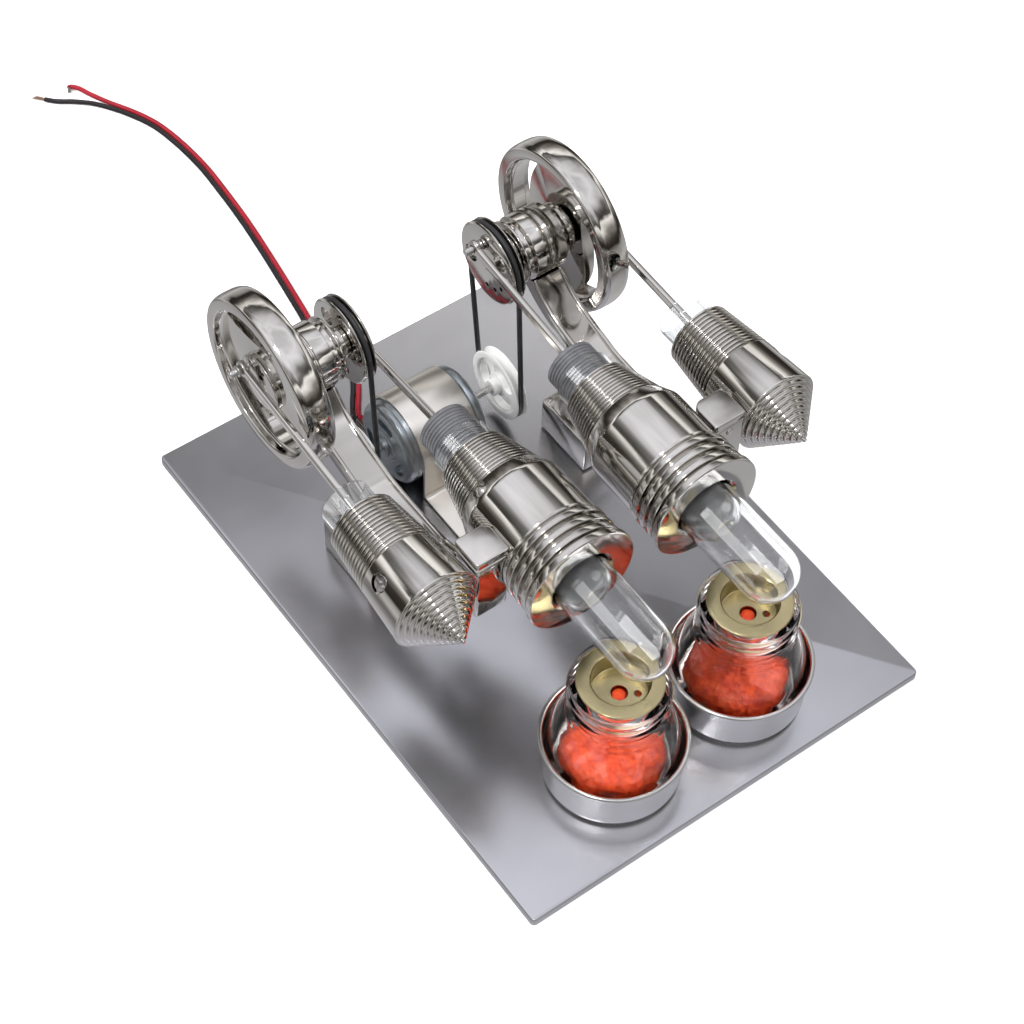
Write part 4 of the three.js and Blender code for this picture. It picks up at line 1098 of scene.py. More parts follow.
@dataclass
class BasePlate:
    """The satin steel plate that carries everything."""

    bench: Bench
    corner: float = 1.2
    edge: float = 0.35

    def build(self) -> None:
        """Makes the plate with rounded corners and softened edges."""
        room = Room.of("base_plate")
        (x0, y0, z0), (x1, y1, z1) = room.low, room.high
        outline = []
        for cx, cy, start in ((x1, y1, 0), (x0, y1, 90), (x0, y0, 180), (x1, y0, 270)):
            centre = (cx - math.copysign(self.corner, cx), cy - math.copysign(self.corner, cy))
            outline += arc(centre, self.corner, start, start + 90, 7)
        shape = slab(outline, z0, z1, Axis.Z).eased(self.edge, 3, 60)
        self.bench.place("plate", shape, PLATE_STEEL, "base", ("base_plate",))


@dataclass
class MotorStrap:
    """The bright strap that holds both generators down, with its two screws."""

    bench: Bench
    axis_y: float = 46.4
    axis_z: float = 16.1
    inner: float = 12.5
    thick: float = 0.8
    screw: float = 2.1
    slot: float = 0.3

    def band(self) -> Solid:
        """The bent strap with its two feet."""
        room = Room.of("motor_strap")
        outer, low = self.inner + self.thick, room.low[2]
        front, rear, top = room.low[1], room.high[1], low + self.thick
        y, z = self.axis_y, self.axis_z
        bend = 1.6
        under = [(front, low), (y - self.inner, low)] + arc((y, z), self.inner, 180, 0, 49)
        under += [(y + self.inner, low), (rear, low)]
        over = [(rear, top)]
        over += arc((y + outer + bend, top + bend), bend, 270, 180, 7)
        over += arc((y, z), outer, 0, 180, 49)
        over += arc((y - outer - bend, top + bend), bend, 0, -90, 7)
        over += [(front, top)]
        band = slab(under + over, room.low[0], room.high[0], Axis.X)
        notch = block((1.2, 9), (y - outer - 2, y - self.inner + 0.2), (z - 3.5, z + 4.2))
        return band.cut(notch).eased(0.22, 2, 50)

    def clamp(self) -> Solid:
        """The small raised tab beside the front screw."""
        room = Room.of("motor_strap")
        y = self.axis_y - self.inner - self.thick
        z = room.low[2] + self.thick
        shape = block((1.8, 6.4), (y - 8.4, y - 1.2), (z - 0.1, z + 1.2))
        return shape.eased(0.35, 3, 50)

    def screw_head(self, node: str) -> Solid:
        """A slotted pan head filling its frame node's space."""
        room = Room.of(node)
        x, y, _ = room.middle
        low, high = room.low[2], room.high[2]
        r = self.screw
        head = lathe([(0, low), (r * 0.9, low, 0.1), (r, low + 0.2, 0.1), (r, high - 0.45, 0.3),
                      (r * 0.7, high, 0.3), (0, high)], Axis.Z, (x, y, 0), 48)
        slot = block((x - r - 1, x + r + 1), (y - self.slot, y + self.slot),
                     (high - 0.6, high + 1)).turned(Axis.Z, 0.5, (x, y, 0))
        return head.cut(slot)

    def build(self) -> None:
        """Makes the strap, its tab and its screws."""
        self.bench.place("generator_strap", self.band(), STRAP_NICKEL, "base", ("motor_strap",))
        self.bench.place("strap_tab", self.clamp(), NICKEL, "base")
        for node in ("strap_screw_front", "strap_screw_rear"):
            self.bench.place(f"{node}_head", self.screw_head(node), NICKEL, "base", (node,))


@dataclass
class Generator(Assembly):
    """One generator can with its vents, its plastic pulley and its shaft."""

    axis_y: float = 46.4
    axis_z: float = 16.1
    boss_length: float = 1.4
    vent_inner: float = 6.6
    vent_outer: float = 9.4
    pulley: float = 10.7
    pulley_width: float = 3.4
    groove: float = 1.9
    hub: float = 2.4
    spokes: int = 3
    shaft: float = 1.0

    def can(self) -> Solid:
        """The can with a rolled edge, an end recess and vent slots."""
        room = self.room("generator")
        near, far = room.low[0], room.high[0] - self.boss_length
        radius = room.size[2] / 2
        at = (0, self.axis_y, self.axis_z)
        shape = lathe([
            (0, near), (radius - 0.4, near, 0.1), (radius, near + 0.4, 0.1),
            (radius, far - 3.2), (radius - 0.12, far - 3.0), (radius - 0.12, far - 2.75),
            (radius, far - 2.55), (radius, far - 1.1, 0.9), (radius - 1.3, far, 0.8),
            (4.4, far, 0.2), (4.2, far + 0.35, 0.1), (3.1, far + 0.35, 0.15),
            (3.1, far + self.boss_length, 0.3), (0, far + self.boss_length),
        ], Axis.X, at, FINE)
        vents = [
            slab(kidney((self.axis_y, self.axis_z), self.vent_inner, self.vent_outer,
                        middle - 24, middle + 24), far - 1.2, far + 2, Axis.X)
            for middle in (90, 210, 330)
        ]
        return shape.cut(*vents)

    def wheel(self) -> Solid:
        """The belt pulley with three open windows between its spokes."""
        room = self.room("generator_pulley")
        end = room.high[0] - 0.6
        start = end - self.pulley_width
        mid, r, floor = (start + end) / 2, self.pulley, self.pulley - self.groove
        at = (0, self.axis_y, self.axis_z)
        shape = lathe([
            (self.shaft, start - 1.6), (self.hub, start - 1.6, 0.2), (self.hub, start + 0.5, 0.3),
            (8.3, start + 0.7, 0.4), (8.6, start, 0.3), (r, start, 0.3), (r, mid - 1.3, 0.2),
            (floor, mid - 0.8, 0.3), (floor, mid + 0.8, 0.3), (r, mid + 1.3, 0.2), (r, end, 0.3),
            (8.6, end, 0.3), (8.3, end - 0.7, 0.4), (self.hub, end - 0.5, 0.3),
            (self.hub, end, 0.2), (self.shaft, end),
        ], Axis.X, at, FINE, True)
        pitch = 360 / self.spokes
        windows = [
            slab(kidney((self.axis_y, self.axis_z), 3.5, 8.0, i * pitch - 46, i * pitch + 46),
                 start - 1, end + 1, Axis.X)
            for i in range(self.spokes)
        ]
        return shape.cut(*windows)

    def build(self) -> None:
        """Makes the can, the pulley and the shaft."""
        self.place("generator_can", self.can(), CAN_STEEL, "base", ("generator",))
        self.place("milky_pulley", self.wheel(), MILKY, "rotor", ("generator_pulley",))
        room = self.room("generator_pulley")
        spindle = rod(self.shaft - 0.02, room.low[0], room.high[0] - 0.05, Axis.X,
                      (0, self.axis_y, self.axis_z), 0.15)
        self.place("generator_spindle", spindle, BRIGHT_STEEL, "rotor")


# ---------------------------------------------------------------- crank, wheel and belt


@dataclass
class CrankLine(Assembly):
    """Flywheel, crank pulley, shaft, bearing and belt of one engine."""

    axle_y: float = 51.3
    axle_z: float = 62.2
    wheel_x: tuple = (42.2, 50.5)
    wheel: float = 24.7
    rim_inner: float = 20.7
    web: tuple = (44.4, 48.0)
    hub: float = 8.2
    boss: float = 6.0
    pulley_x: tuple = (21.5, 25.6)
    pulley: float = 12.2
    belt: float = 0.75
    bore: float = 2.2
    shaft: float = 1.9
    generator_y: float = 46.4
    generator_z: float = 16.1

    @property
    def pin_angle(self) -> float:
        """Angle of the power pin at rest, in degrees from the rear level line."""
        return 60.0 if self.side is Side.LEFT else 150.0

    def at(self, radius: float, angle: float) -> tuple:
        """The y and z of a point at a radius and an angle in degrees about the axle."""
        t = math.radians(angle)
        return (self.axle_y + radius * math.cos(t), self.axle_z + radius * math.sin(t))

    def bored(self, radius: float, offset: float, angle: float, x0: float, x1: float) -> Solid:
        """A drill along x at a radius and an angle about the axle."""
        y, z = self.at(offset, angle)
        return rod(radius, x0, x1, Axis.X, (0, y, z), 0, 28)

    def leaf(self, angle: float) -> list:
        """A comma-shaped window that leaves a swept arm beside it."""
        outer, steps = 19.7, 26
        spread = np.linspace(0, 1, steps)
        edge = [self.at(outer, angle - 60 + 120 * t) for t in spread]
        depth = [8.2 * math.sin(math.pi * t ** 0.72) ** 0.75 for t in spread]
        inner = [self.at(outer - d, angle - 60 + 120 * t) for d, t in zip(depth, spread)]
        return edge + inner[-2:0:-1]

    def flywheel(self) -> Solid:
        """The wheel with a crowned rim, a thin web, windows and a bored hub."""
        x0, x1 = self.wheel_x
        r, ri = self.wheel, self.rim_inner
        w0, w1 = self.web
        shape = lathe([
            (self.bore, x0), (self.boss, x0, 0.25), (self.boss, x0 + 1.1, 0.15),
            (self.boss + 1.3, x0 + 1.3, 0.15), (self.boss + 1.3, w0, 0.1), (ri - 0.9, w0, 0.3),
            (ri - 0.2, w0 - 0.5, 0.3), (ri, x0 + 0.3, 0.2), (ri + 0.3, x0, 0.1),
            (r - 1.05, x0, 0.15), (r - 0.6, x0 + 0.35, 0.25), (r - 0.12, x0 + 1.6, 0.6),
            (r, x0 + 3.2, 0.8), (r, x1 - 3.2, 0.8), (r - 0.12, x1 - 1.6, 0.6),
            (r - 0.6, x1 - 0.35, 0.25), (r - 1.05, x1, 0.15), (ri + 0.3, x1, 0.1),
            (ri, x1 - 0.3, 0.2), (ri - 0.2, w1 + 0.5, 0.3), (ri - 0.9, w1, 0.3),
            (self.hub, w1, 0.2), (self.hub, x1 - 1.0, 0.3), (self.hub - 0.4, x1 - 0.8, 0.1),
            (self.bore, x1 - 0.8),
        ], Axis.X, (0, self.axle_y, self.axle_z), 144, True)
        turn = self.pin_angle + math.degrees(0.55)
        windows = [slab(self.leaf(turn + k), w0 - 1, w1 + 1, Axis.X) for k in (0, 180)]
        line = self.pin_angle + math.degrees(0.9)
        holes = [self.bored(0.8, 3.9, line + k, x1 - 4, x1 + 1) for k in (0, 180)]
        holes.append(self.bored(0.55, 6.4, line, x1 - 3, x1 + 1))
        return shape.cut(*windows, *holes)

    def crank_web(self) -> Solid:
        """The dark horseshoe web that carries the power pin on the hub's face."""
        x1 = self.wheel_x[1]
        y, z = self.at(5.8, self.pin_angle)
        a = self.pin_angle
        outline = arc((y, z), 2.6, a - 90, a + 90, 15)
        foot = [self.at(2.6, a + 90), self.at(2.6, a - 90)]
        shape = slab(outline + foot, x1 - 0.85, x1 - 0.02, Axis.X)
        bore = rod(self.bore, x1 - 2, x1 + 2, Axis.X, (0, self.axle_y, self.axle_z), 0, 40)
        return shape.cut(bore).eased(0.2, 2, 50)

    def crank_pulley(self) -> Solid:
        """The grooved crank pulley with two large and three small holes."""
        x0, x1 = self.pulley_x
        mid, r = (x0 + x1) / 2, self.pulley
        shape = lathe([
            (self.bore, x0), (r - 0.5, x0, 0.2), (r, x0 + 0.45, 0.2), (r, mid - 1.35, 0.15),
            (r - 1.9, mid - 0.85, 0.25), (r - 1.9, mid + 0.85, 0.25), (r, mid + 1.35, 0.15),
            (r, x1 - 0.45, 0.2), (r - 0.5, x1, 0.2), (4.4, x1, 0.2), (4.4, x1 + 1.6, 0.25),
            (self.bore, x1 + 1.6),
        ], Axis.X, (0, self.axle_y, self.axle_z), 120, True)
        a = self.pin_angle - 90
        tools = [self.bored(2.6, 7.4, a + k, x0 - 1, x1 + 1) for k in (75, -75)]
        tools += [self.bored(0.7, 7.6, a + 180 + k, x0 - 1, x0 + 2.2) for k in (-28, 0, 28)]
        return shape.cut(*tools)

    def spindle(self) -> Solid:
        """The crankshaft with a centre mark in each end."""
        room = self.room("crankshaft")
        x0, x1 = room.low[0], room.high[0]
        return lathe([(0, x0 + 0.5), (0.5, x0, 0.05), (self.shaft, x0, 0.25),
                      (self.shaft, x1, 0.25), (0.5, x1, 0.05), (0, x1 - 0.5)], Axis.X,
                     (0, self.axle_y, self.axle_z), 48)

    def bearing(self) -> Solid:
        """The bearing bush with its lip."""
        room = self.room("bearing")
        x0, x1 = room.low[0], room.high[0]
        return lathe([(self.bore, x0), (6.6, x0, 0.2), (6.6, x0 + 0.7, 0.1), (5, x0 + 0.7, 0.1),
                      (5, x1, 0.3), (3.6, x1, 0.1), (3.5, x1 - 0.3, 0.1), (self.bore, x1 - 0.3)],
                     Axis.X, (0, self.axle_y, self.axle_z), MEDIUM, True)

    def belt_loop(self) -> Solid:
        """The round rubber belt over both pulleys."""
        top = self.pulley - 1.9 + 0.3 + self.belt
        low = 10.7 - 1.9 + 0.3 + self.belt
        run = np.array([self.generator_y - self.axle_y, self.generator_z - self.axle_z])
        heading = math.degrees(math.atan2(run[1], run[0]))
        spread = math.degrees(math.acos((top - low) / np.linalg.norm(run)))
        over = arc((self.axle_y, self.axle_z), top, heading + spread, heading + 360 - spread, 49)
        under = arc((self.generator_y, self.generator_z), low, heading - spread, heading + spread,
                    41)
        points = []
        for first, second in ((over, under), (under, over)):
            points += first
            a, b = np.array(first[-1]), np.array(second[0])
            points += [tuple(a + (b - a) * t) for t in np.linspace(0, 1, 9)[1:-1]]
        path = np.array([(sum(self.pulley_x) / 2, y, z) for y, z in points])
        outward = np.tile([1.0, 0.0, 0.0], (len(path), 1))
        turn = np.linspace(0, 2 * math.pi, 18, endpoint=False)
        section = [(self.belt * math.cos(t), self.belt * math.sin(t)) for t in turn]
        return loop(path, outward, section, True)

    def build(self) -> None:
        """Makes all the pieces on the crank line."""
        centre = (0, self.axle_y, self.axle_z)
        polished = self.turned_metal(NICKEL, Axis.X, centre)
        self.place("wheel", self.flywheel(), polished, "crank", ("flywheel",))
        self.place("crank_web", self.crank_web(), polished, "crank")
        self.place("grooved_pulley", self.crank_pulley(), polished, "crank", ("crank_pulley",))
        self.place("crank_spindle", self.spindle(), BRIGHT_STEEL, "crank", ("crankshaft",))
        self.place("bearing_bush", self.bearing(), polished, "base", ("bearing",))
        self.place("drive_belt", self.belt_loop(), RUBBER, "base", ("belt",))


@dataclass
class ConnectingRod(Assembly):
    """A flat polished rod with an eye at each end, and its crank pin."""

    node: str = "power_rod"
    finish: Metal = NICKEL
    height: float = 2.6
    eye: float = 2.2
    bore: float = 1.25
    pin: float = 1.0
    wrist_z: float = 62.2
    bevel: float = 0.3

    def build(self) -> None:
        """Makes the rod and its pin."""
        room, pin_room = self.room(self.node), self.room(f"{self.node}_pin")
        pin_at = pin_room.middle
        x0, x1 = room.low[0], room.high[0]
        wrist_y = room.low[1] + self.eye
        run = np.array([pin_at[1] - wrist_y, pin_at[2] - self.wrist_z])
        length = float(np.linalg.norm(run))
        spread = math.degrees(math.asin(self.height / 2 / self.eye))
        outline = arc((0, 0), self.eye, spread, 360 - spread, 33)
        outline += arc((length, 0), self.eye, 180 + spread, 540 - spread, 33)
        drills = [rod(self.bore, x0 - 1, x1 + 1, Axis.X, (0, y, 0), 0, 28) for y in (0, length)]
        relief = block((x1 - 0.3, x1 + 1), (self.eye + 1.6, length - self.eye - 1.6),
                       (-self.height / 2 + 0.65, self.height / 2 - 0.65)).eased(0.25, 2)
        shape = slab(outline, x0, x1, Axis.X).eased(self.bevel, 3, 50).cut(*drills, relief)
        shape = shape.turned(Axis.X, math.atan2(run[1], run[0])).moved(0, wrist_y, self.wrist_z)
        self.place(f"{self.node}_bar", shape, self.finish, self.node, (self.node,))
        p0, p1 = pin_room.low[0], pin_room.high[0]
        mid = (x0 + x1) / 2
        r = self.pin
        centre = (0, pin_at[1], pin_at[2])
        spindle = lathe([
            (0, p0), (r, p0, 0.15), (r, mid + 1.0, 0.05), (r + 0.55, mid + 1.1, 0.1),
            (r + 0.55, mid + 1.9, 0.15), (r, mid + 2.0, 0.05), (r, p1, 0.25), (0, p1),
        ], Axis.X, centre, 40)
        self.place(f"{self.node}_pin_turned", spindle, BRIGHT_STEEL, self.node,
                   (f"{self.node}_pin",))


# ---------------------------------------------------------------- frame and stand


@dataclass
class FrameArm(Assembly):
    """The swept arm with its two rails and the bearing housing, its stand and foot."""

    x: tuple = (31.5, 41.3)
    rail: float = 1.3
    rise: float = 0.9
    axle_y: float = 51.3
    axle_z: float = 62.2
    bore: float = 5.2
    spine: tuple = (
        (-22.5, 49.2), (-13, 47.4), (-5, 44.7), (2, 44.2), (18, 44.2), (22, 45.1), (37, 49.6),
        (44, 55.2),
    )
    belly: tuple = (
        (50, 53.2), (40, 46.8), (24, 42), (18, 40.6), (0, 40.6), (-12, 43.6), (-22.5, 45.2),
    )

    def curve(self, points: Sequence[tuple], lift: float = 0) -> list:
        """A smooth (y, z) line through points, lifted by lift."""
        made = smooth_path([(y, z, 0) for y, z in points], 6)
        return [(p[0], p[1] + lift) for p in made]

    def arm(self) -> Solid:
        """The strip and its rails."""
        x0, x1 = self.x
        strip = slab(self.curve(self.spine) + self.curve(self.belly), x0 + 0.3, x1 - 0.3, Axis.X)
        line = self.curve(self.spine)
        up = [(y, z + self.rise) for y, z in line]
        down = [(y, z - self.rise * 1.6) for y, z in line][::-1]
        rails = [slab(up + down, a, a + self.rail, Axis.X).eased(0.42, 3, 50)
                 for a in (x0, x1 - self.rail)]
        return strip.joined(*rails)

    def housing(self) -> Solid:
        """The spool-shaped bearing housing."""
        x0, x1 = self.x
        return lathe([
            (self.bore, x0 - 3), (7.6, x0 - 3, 0.2), (9.0, x0 - 2.8, 0.3), (9.0, x0 - 2.1, 0.2),
            (7.5, x0 - 1.9, 0.3), (7.5, x0 - 0.1, 0.3), (9.2, x0 + 0.1, 0.2),
            (9.2, x0 + 4.5, 0.1), (8.95, x0 + 4.7, 0.1), (8.95, x0 + 5.1, 0.1),
            (9.2, x0 + 5.3, 0.1), (9.2, x1, 0.3), (self.bore, x1),
        ], Axis.X, (0, self.axle_y, self.axle_z), FINE, True)

    def stand(self) -> Solid:
        """The polished foot and its post."""
        room = self.room("stand")
        (x0, y0, z0), (x1, y1, z1) = room.low, room.high
        top, mid = 14.7, (x0 + x1) / 2
        foot = block((x0, x1), (y0, y1), (z0, top)).eased(0.5, 3)
        post = block((mid - 3.5, mid + 3.5), (18.3, 27.3), (top - 2, z1)).eased(0.45, 3)
        return foot.joined(post)

    def build(self) -> None:
        """Makes the arm with its housing, and the stand."""
        centre = (0, self.axle_y, self.axle_z)
        bore = rod(self.bore, 20, 50, Axis.X, centre, 0, 64)
        self.place("arm", self.arm().cut(bore), NICKEL, "base", ("frame",))
        self.place("bearing_housing", self.housing(),
                   self.turned_metal(NICKEL, Axis.X, centre), "base")
        self.place("stand_block", self.stand(), NICKEL, "base", ("stand",))


# ---------------------------------------------------------------- cylinders


@dataclass
class PowerCylinder(Assembly):
    """The finned power cylinder with its ringed nose, glass sleeve, piston and plug."""

    x: float = 52.6
    z: float = 62.2
    rear: float = 0.4
    fins: int = 13
    fin_length: float = 16.0
    rear_radius: float = 9.3
    shoulder: float = 11.04
    front_radius: float = 12.2
    front: float = -31.0
    tip: float = -42.4
    rings: int = 10
    bore: float = 7.1
    bore_end: float = -25.5
    plug_y: float = -20.5
    plug_turn: float = 0.6
    wrist: float = 6.0

    def fin_points(self) -> list:
        """The profile of the fins, thin edges with deep rounded grooves."""
        pitch = self.fin_length / self.fins
        slope = (self.shoulder - self.rear_radius) / self.fin_length
        made = []
        for i in range(self.fins):
            y = self.rear - i * pitch
            r = self.rear_radius + slope * i * pitch
            made += [(r, y, 0.12), (r, y - pitch * 0.42, 0.12),
                     (r - 0.9, y - pitch * 0.56, 0.15), (r - 0.9, y - pitch * 0.88, 0.15)]
        return made

    def body(self) -> Solid:
        """The cylinder, bored for the sleeve and drilled for the plug."""
        points = [(0, self.bore_end), (self.bore, self.bore_end, 0.3),
                  (self.bore, self.rear, 0.15)]
        points += self.fin_points()
        end = self.rear - self.fin_length
        points += [(self.shoulder, end, 0.3), (self.front_radius - 0.1, self.front + 1.2, 2.0),
                   (self.front_radius, self.front, 0.3)]
        pitch = (self.front - self.tip) / self.rings
        shrink = (self.front_radius - 0.6) / self.rings
        for i in range(self.rings):
            y, r = self.front - i * pitch, self.front_radius - i * shrink
            points += [(r - 0.5, y - 0.02, 0.12), (r - shrink - 0.1, y - pitch * 0.22, 0.3),
                       (r - shrink - 0.1, y - pitch * 0.45, 0.2),
                       (r - shrink, y - pitch * 0.97, 0.2)]
        points += [(0, self.tip)]
        shape = lathe(points, Axis.Y, (self.x, 0, self.z), 120)
        return shape.cut(self.plug_line(2.6, 8.7, 13.4))

    def plug_line(self, radius: float, start: float, end: float) -> Solid:
        """A round bar on the plug's leaning axis."""
        bar = rod(radius, start, end, Axis.X, (0, 0, 0), 0.15, 40)
        return bar.turned(Axis.Y, -self.plug_turn).moved(self.x, self.plug_y, self.z)

    def plug(self) -> Solid:
        """The recessed screw with a cross slot."""
        head = rod(2.1, 9.0, 10.8, Axis.X, (0, 0, 0), 0.3, 40)
        slots = [block((10.0, 12), (-1.7, 1.7), (-0.4, 0.4)),
                 block((10.0, 12), (-0.4, 0.4), (-1.7, 1.7))]
        head = head.cut(*slots)
        return head.turned(Axis.Y, -self.plug_turn).moved(self.x, self.plug_y, self.z)

    def sleeve(self) -> Solid:
        """The thin glass sleeve with a fire-polished rim."""
        room = self.room("power_sleeve")
        y0, y1 = room.low[1], room.high[1]
        return lathe([(6.1, y0, 0.2), (6.75, y0, 0.2), (6.75, y1, 0.3), (6.1, y1, 0.3)],
                     Axis.Y, (self.x, 0, self.z), FINE, True)

    def piston(self) -> Solid:
        """The graphite piston with its fork and wrist pin."""
        room = self.room("power_piston")
        return fork_piston(room, self.x, self.z, 3.6, 5, room.low[1] + self.wrist)

    def build(self) -> None:
        """Makes the cylinder and what is in it."""
        centre = (self.x, 0, self.z)
        shiny = self.turned_metal(NICKEL, Axis.Y, centre)
        self.place("power_barrel", self.body(), shiny, "base", ("power_cylinder",))
        self.place("plug_head", self.plug(), BRIGHT_STEEL, "base", ("plug_screw",))
        self.place("power_glass", self.sleeve(), SLEEVE_GLASS, "base", ("power_sleeve",))
        self.place("power_slug", self.piston(), GRAPHITE, "power_piston", ("power_piston",))


def fork_piston(room: Room, x: float, z: float, slot_half: float, grooves: int,
                wrist_y: float) -> Solid:
    """A round piston with ring grooves, a fork slot at its rear and a pin across it.

    Args:
        room: the space it fills.
        x: its middle line.
        z: height of its middle line.
        slot_half: half the height of the slot.
        grooves: number of shallow ring grooves.
        wrist_y: where the pin crosses.

    Returns:
        The piston.
    """
    y0, y1, radius = room.low[1], room.high[1], room.size[2] / 2
    pitch = (y1 - y0 - 2) / grooves
    points = [(0, y0), (radius, y0, 0.3)]
    for i in range(grooves):
        y = y0 + 1 + pitch * (i + 0.5)
        points += [(radius, y - 0.3, 0.05), (radius - 0.3, y - 0.15, 0.1),
                   (radius - 0.3, y + 0.15, 0.1), (radius, y + 0.3, 0.05)]
    points += [(radius, y1, 0.5), (0, y1)]
    shape = lathe(points, Axis.Y, (x, 0, z), FINE)
    slot = block((x - 1.4, x + 1.4), (wrist_y - 3, y1 + 1), (z - slot_half, z + slot_half))
    pin = rod(1.0, x - 2.8, x + 2.8, Axis.X, (0, wrist_y, z), 0, 28)
    return shape.cut(slot).joined(pin)


@dataclass
class DisplacerCylinder(Assembly):
    """The displacer cylinder with its guide, glass tube and glass capsule."""

    x: float = 19.2
    z: float = 62.2
    rear: float = 0.4
    fins: int = 11
    fin_length: float = 12.6
    rear_radius: float = 9.6
    fin_radius: float = 12.7
    barrel: float = 14.4
    shoulder: float = -16.4
    flange: float = -32.5
    plate: float = -41.6
    front: float = -44.4
    ring: float = 15.1
    plate_radius: float = 15.7
    rings: int = 3
    guide_bore: float = 8.3
    chamber: float = 7.5
    tube: float = 8.0
    wall: float = 0.7
    capsule: float = 6.6
    capsule_length: float = 32.0
    capsule_wall: float = 0.55
    stem: float = 1.1

    @property
    def centre(self) -> tuple:
        """A point on the cylinder's axis."""
        return (self.x, 0, self.z)

    def body(self) -> Solid:
        """The cylinder from its fins to its front plate, bored right through."""
        pitch = self.fin_length / self.fins
        slope = (self.fin_radius - self.rear_radius) / self.fin_length
        points = [(self.guide_bore, self.rear, 0.1)]
        for i in range(self.fins):
            y = self.rear - i * pitch
            r = self.rear_radius + slope * i * pitch
            points += [(r, y, 0.12), (r, y - pitch * 0.42, 0.12),
                       (r - 1.0, y - pitch * 0.5, 0.2), (r - 1.0, y - pitch * 0.92, 0.2)]
        end = self.rear - self.fin_length
        points += [(self.fin_radius, end, 0.2), (self.barrel, self.shoulder, 0.7),
                   (self.barrel, self.flange + 0.5, 0.2), (self.ring - 0.9, self.flange, 0.1)]
        step = (self.flange - self.plate) / self.rings
        for i in range(self.rings):
            y = self.flange - step * i
            points += [(self.ring - 1.7, y - step * 0.03, 0.15),
                       (self.ring - 1.7, y - step * 0.26, 0.15), (self.ring, y - step * 0.34, 0.35),
                       (self.ring, y - step * 0.92, 0.35), (self.ring - 1.7, y - step, 0.1)]
        points += [(self.ring - 1.7, self.plate - 0.6, 0.15),
                   (self.plate_radius, self.plate - 0.8, 0.3),
                   (self.plate_radius, self.front + 0.2, 0.15),
                   (self.plate_radius - 0.35, self.front, 0.1),
                   (self.guide_bore + 0.9, self.front, 0.1),
                   (self.guide_bore, self.front + 0.6, 0.1),
                   (self.guide_bore, self.front + 17), (self.chamber, self.front + 17),
                   (self.chamber, self.rear - 11.8), (self.guide_bore, self.rear - 11.8)]
        return lathe(points, Axis.Y, self.centre, 132, True)

    def guide(self) -> Solid:
        """The glass sleeve round the guide piston."""
        room = self.room("guide_sleeve")
        y0, y1 = room.low[1], room.high[1]
        return lathe([(7.4, y0, 0.2), (8.0, y0, 0.2), (8.0, y1, 0.28), (7.4, y1, 0.28)],
                     Axis.Y, self.centre, FINE, True)

    def dome(self, radius: float, tip: float, rear: float) -> list:
        """The profile of a round-ended tube from its tip back to rear."""
        turn = np.linspace(0, math.pi / 2, 15)
        made = [(radius * math.sin(t), tip + radius * (1 - math.cos(t))) for t in turn]
        return made + [(radius, rear)]

    def hot_tube(self) -> Solid:
        """The test-tube hot end, open to the rear."""
        room = self.room("hot_tube")
        tip, mouth = room.low[1], room.high[1]
        outer = self.dome(self.tube, tip, mouth)
        inner = self.dome(self.tube - self.wall, tip + self.wall, mouth)
        return lathe(outer + inner[::-1], Axis.Y, self.centre, FINE)

    def ringed_end(self, radius: float, tip: float) -> list:
        """The profile of the capsule's flat front end, with its pressed ring."""
        return [(0, tip + 0.9), (1.3, tip + 0.8, 0.4), (2.1, tip + 0.1, 0.4), (3.3, tip, 0.4),
                (radius - 1.6, tip + 0.5, 0.8), (radius, tip + 2.6, 1.4)]

    def glass_capsule(self) -> Solid:
        """The hollow glass displacer, sealed at both ends."""
        tip = self.room("displacer").low[1]
        rear = tip + self.capsule_length
        shoulder = [(self.capsule, rear - 1.6), (self.capsule - 0.6, rear - 0.5),
                    (self.capsule - 2.2, rear), (0, rear)]
        outer = lathe(self.ringed_end(self.capsule, tip) + shoulder, Axis.Y, self.centre)
        w = self.capsule_wall
        inside = [(self.capsule - w, rear - 1.8), (self.capsule - w - 0.5, rear - 0.5 - w),
                  (self.capsule - 2.4, rear - w), (0, rear - w)]
        hollow = lathe(self.ringed_end(self.capsule - w, tip + w) + inside, Axis.Y, self.centre)
        return outer.plus(Solid(hollow.points, [f[::-1] for f in hollow.faces]))

    def stem_rod(self) -> Solid:
        """The thin metal stem from the capsule to the guide piston."""
        room = self.room("displacer")
        start = room.low[1] + self.capsule_length + 0.05
        return lathe([(0, start), (3.4, start, 0.2), (3.4, start + 0.9, 0.2),
                      (self.stem, start + 1.2, 0.1), (self.stem, room.high[1], 0.1),
                      (0, room.high[1])], Axis.Y, self.centre, 40)

    def build(self) -> None:
        """Makes the cylinder, the glass and what moves inside it."""
        shiny = self.turned_metal(NICKEL, Axis.Y, self.centre)
        self.place("displacer_barrel", self.body(), shiny, "base", ("displacer_cylinder",))
        self.place("guide_glass", self.guide(), GLASS, "base", ("guide_sleeve",))
        self.place("hot_glass", self.hot_tube(), GLASS, "base", ("hot_tube",))
        room = self.room("guide_piston")
        slug = fork_piston(room, self.x, self.z, 4.4, 14, room.high[1] - 4.5)
        self.place("guide_slug", slug, GRAPHITE, "displacer", ("guide_piston",))
        self.place("glass_capsule", self.glass_capsule(), CAPSULE_GLASS, "displacer",
                   ("displacer",))
        self.place("capsule_stem", self.stem_rod(), BRIGHT_STEEL, "displacer")


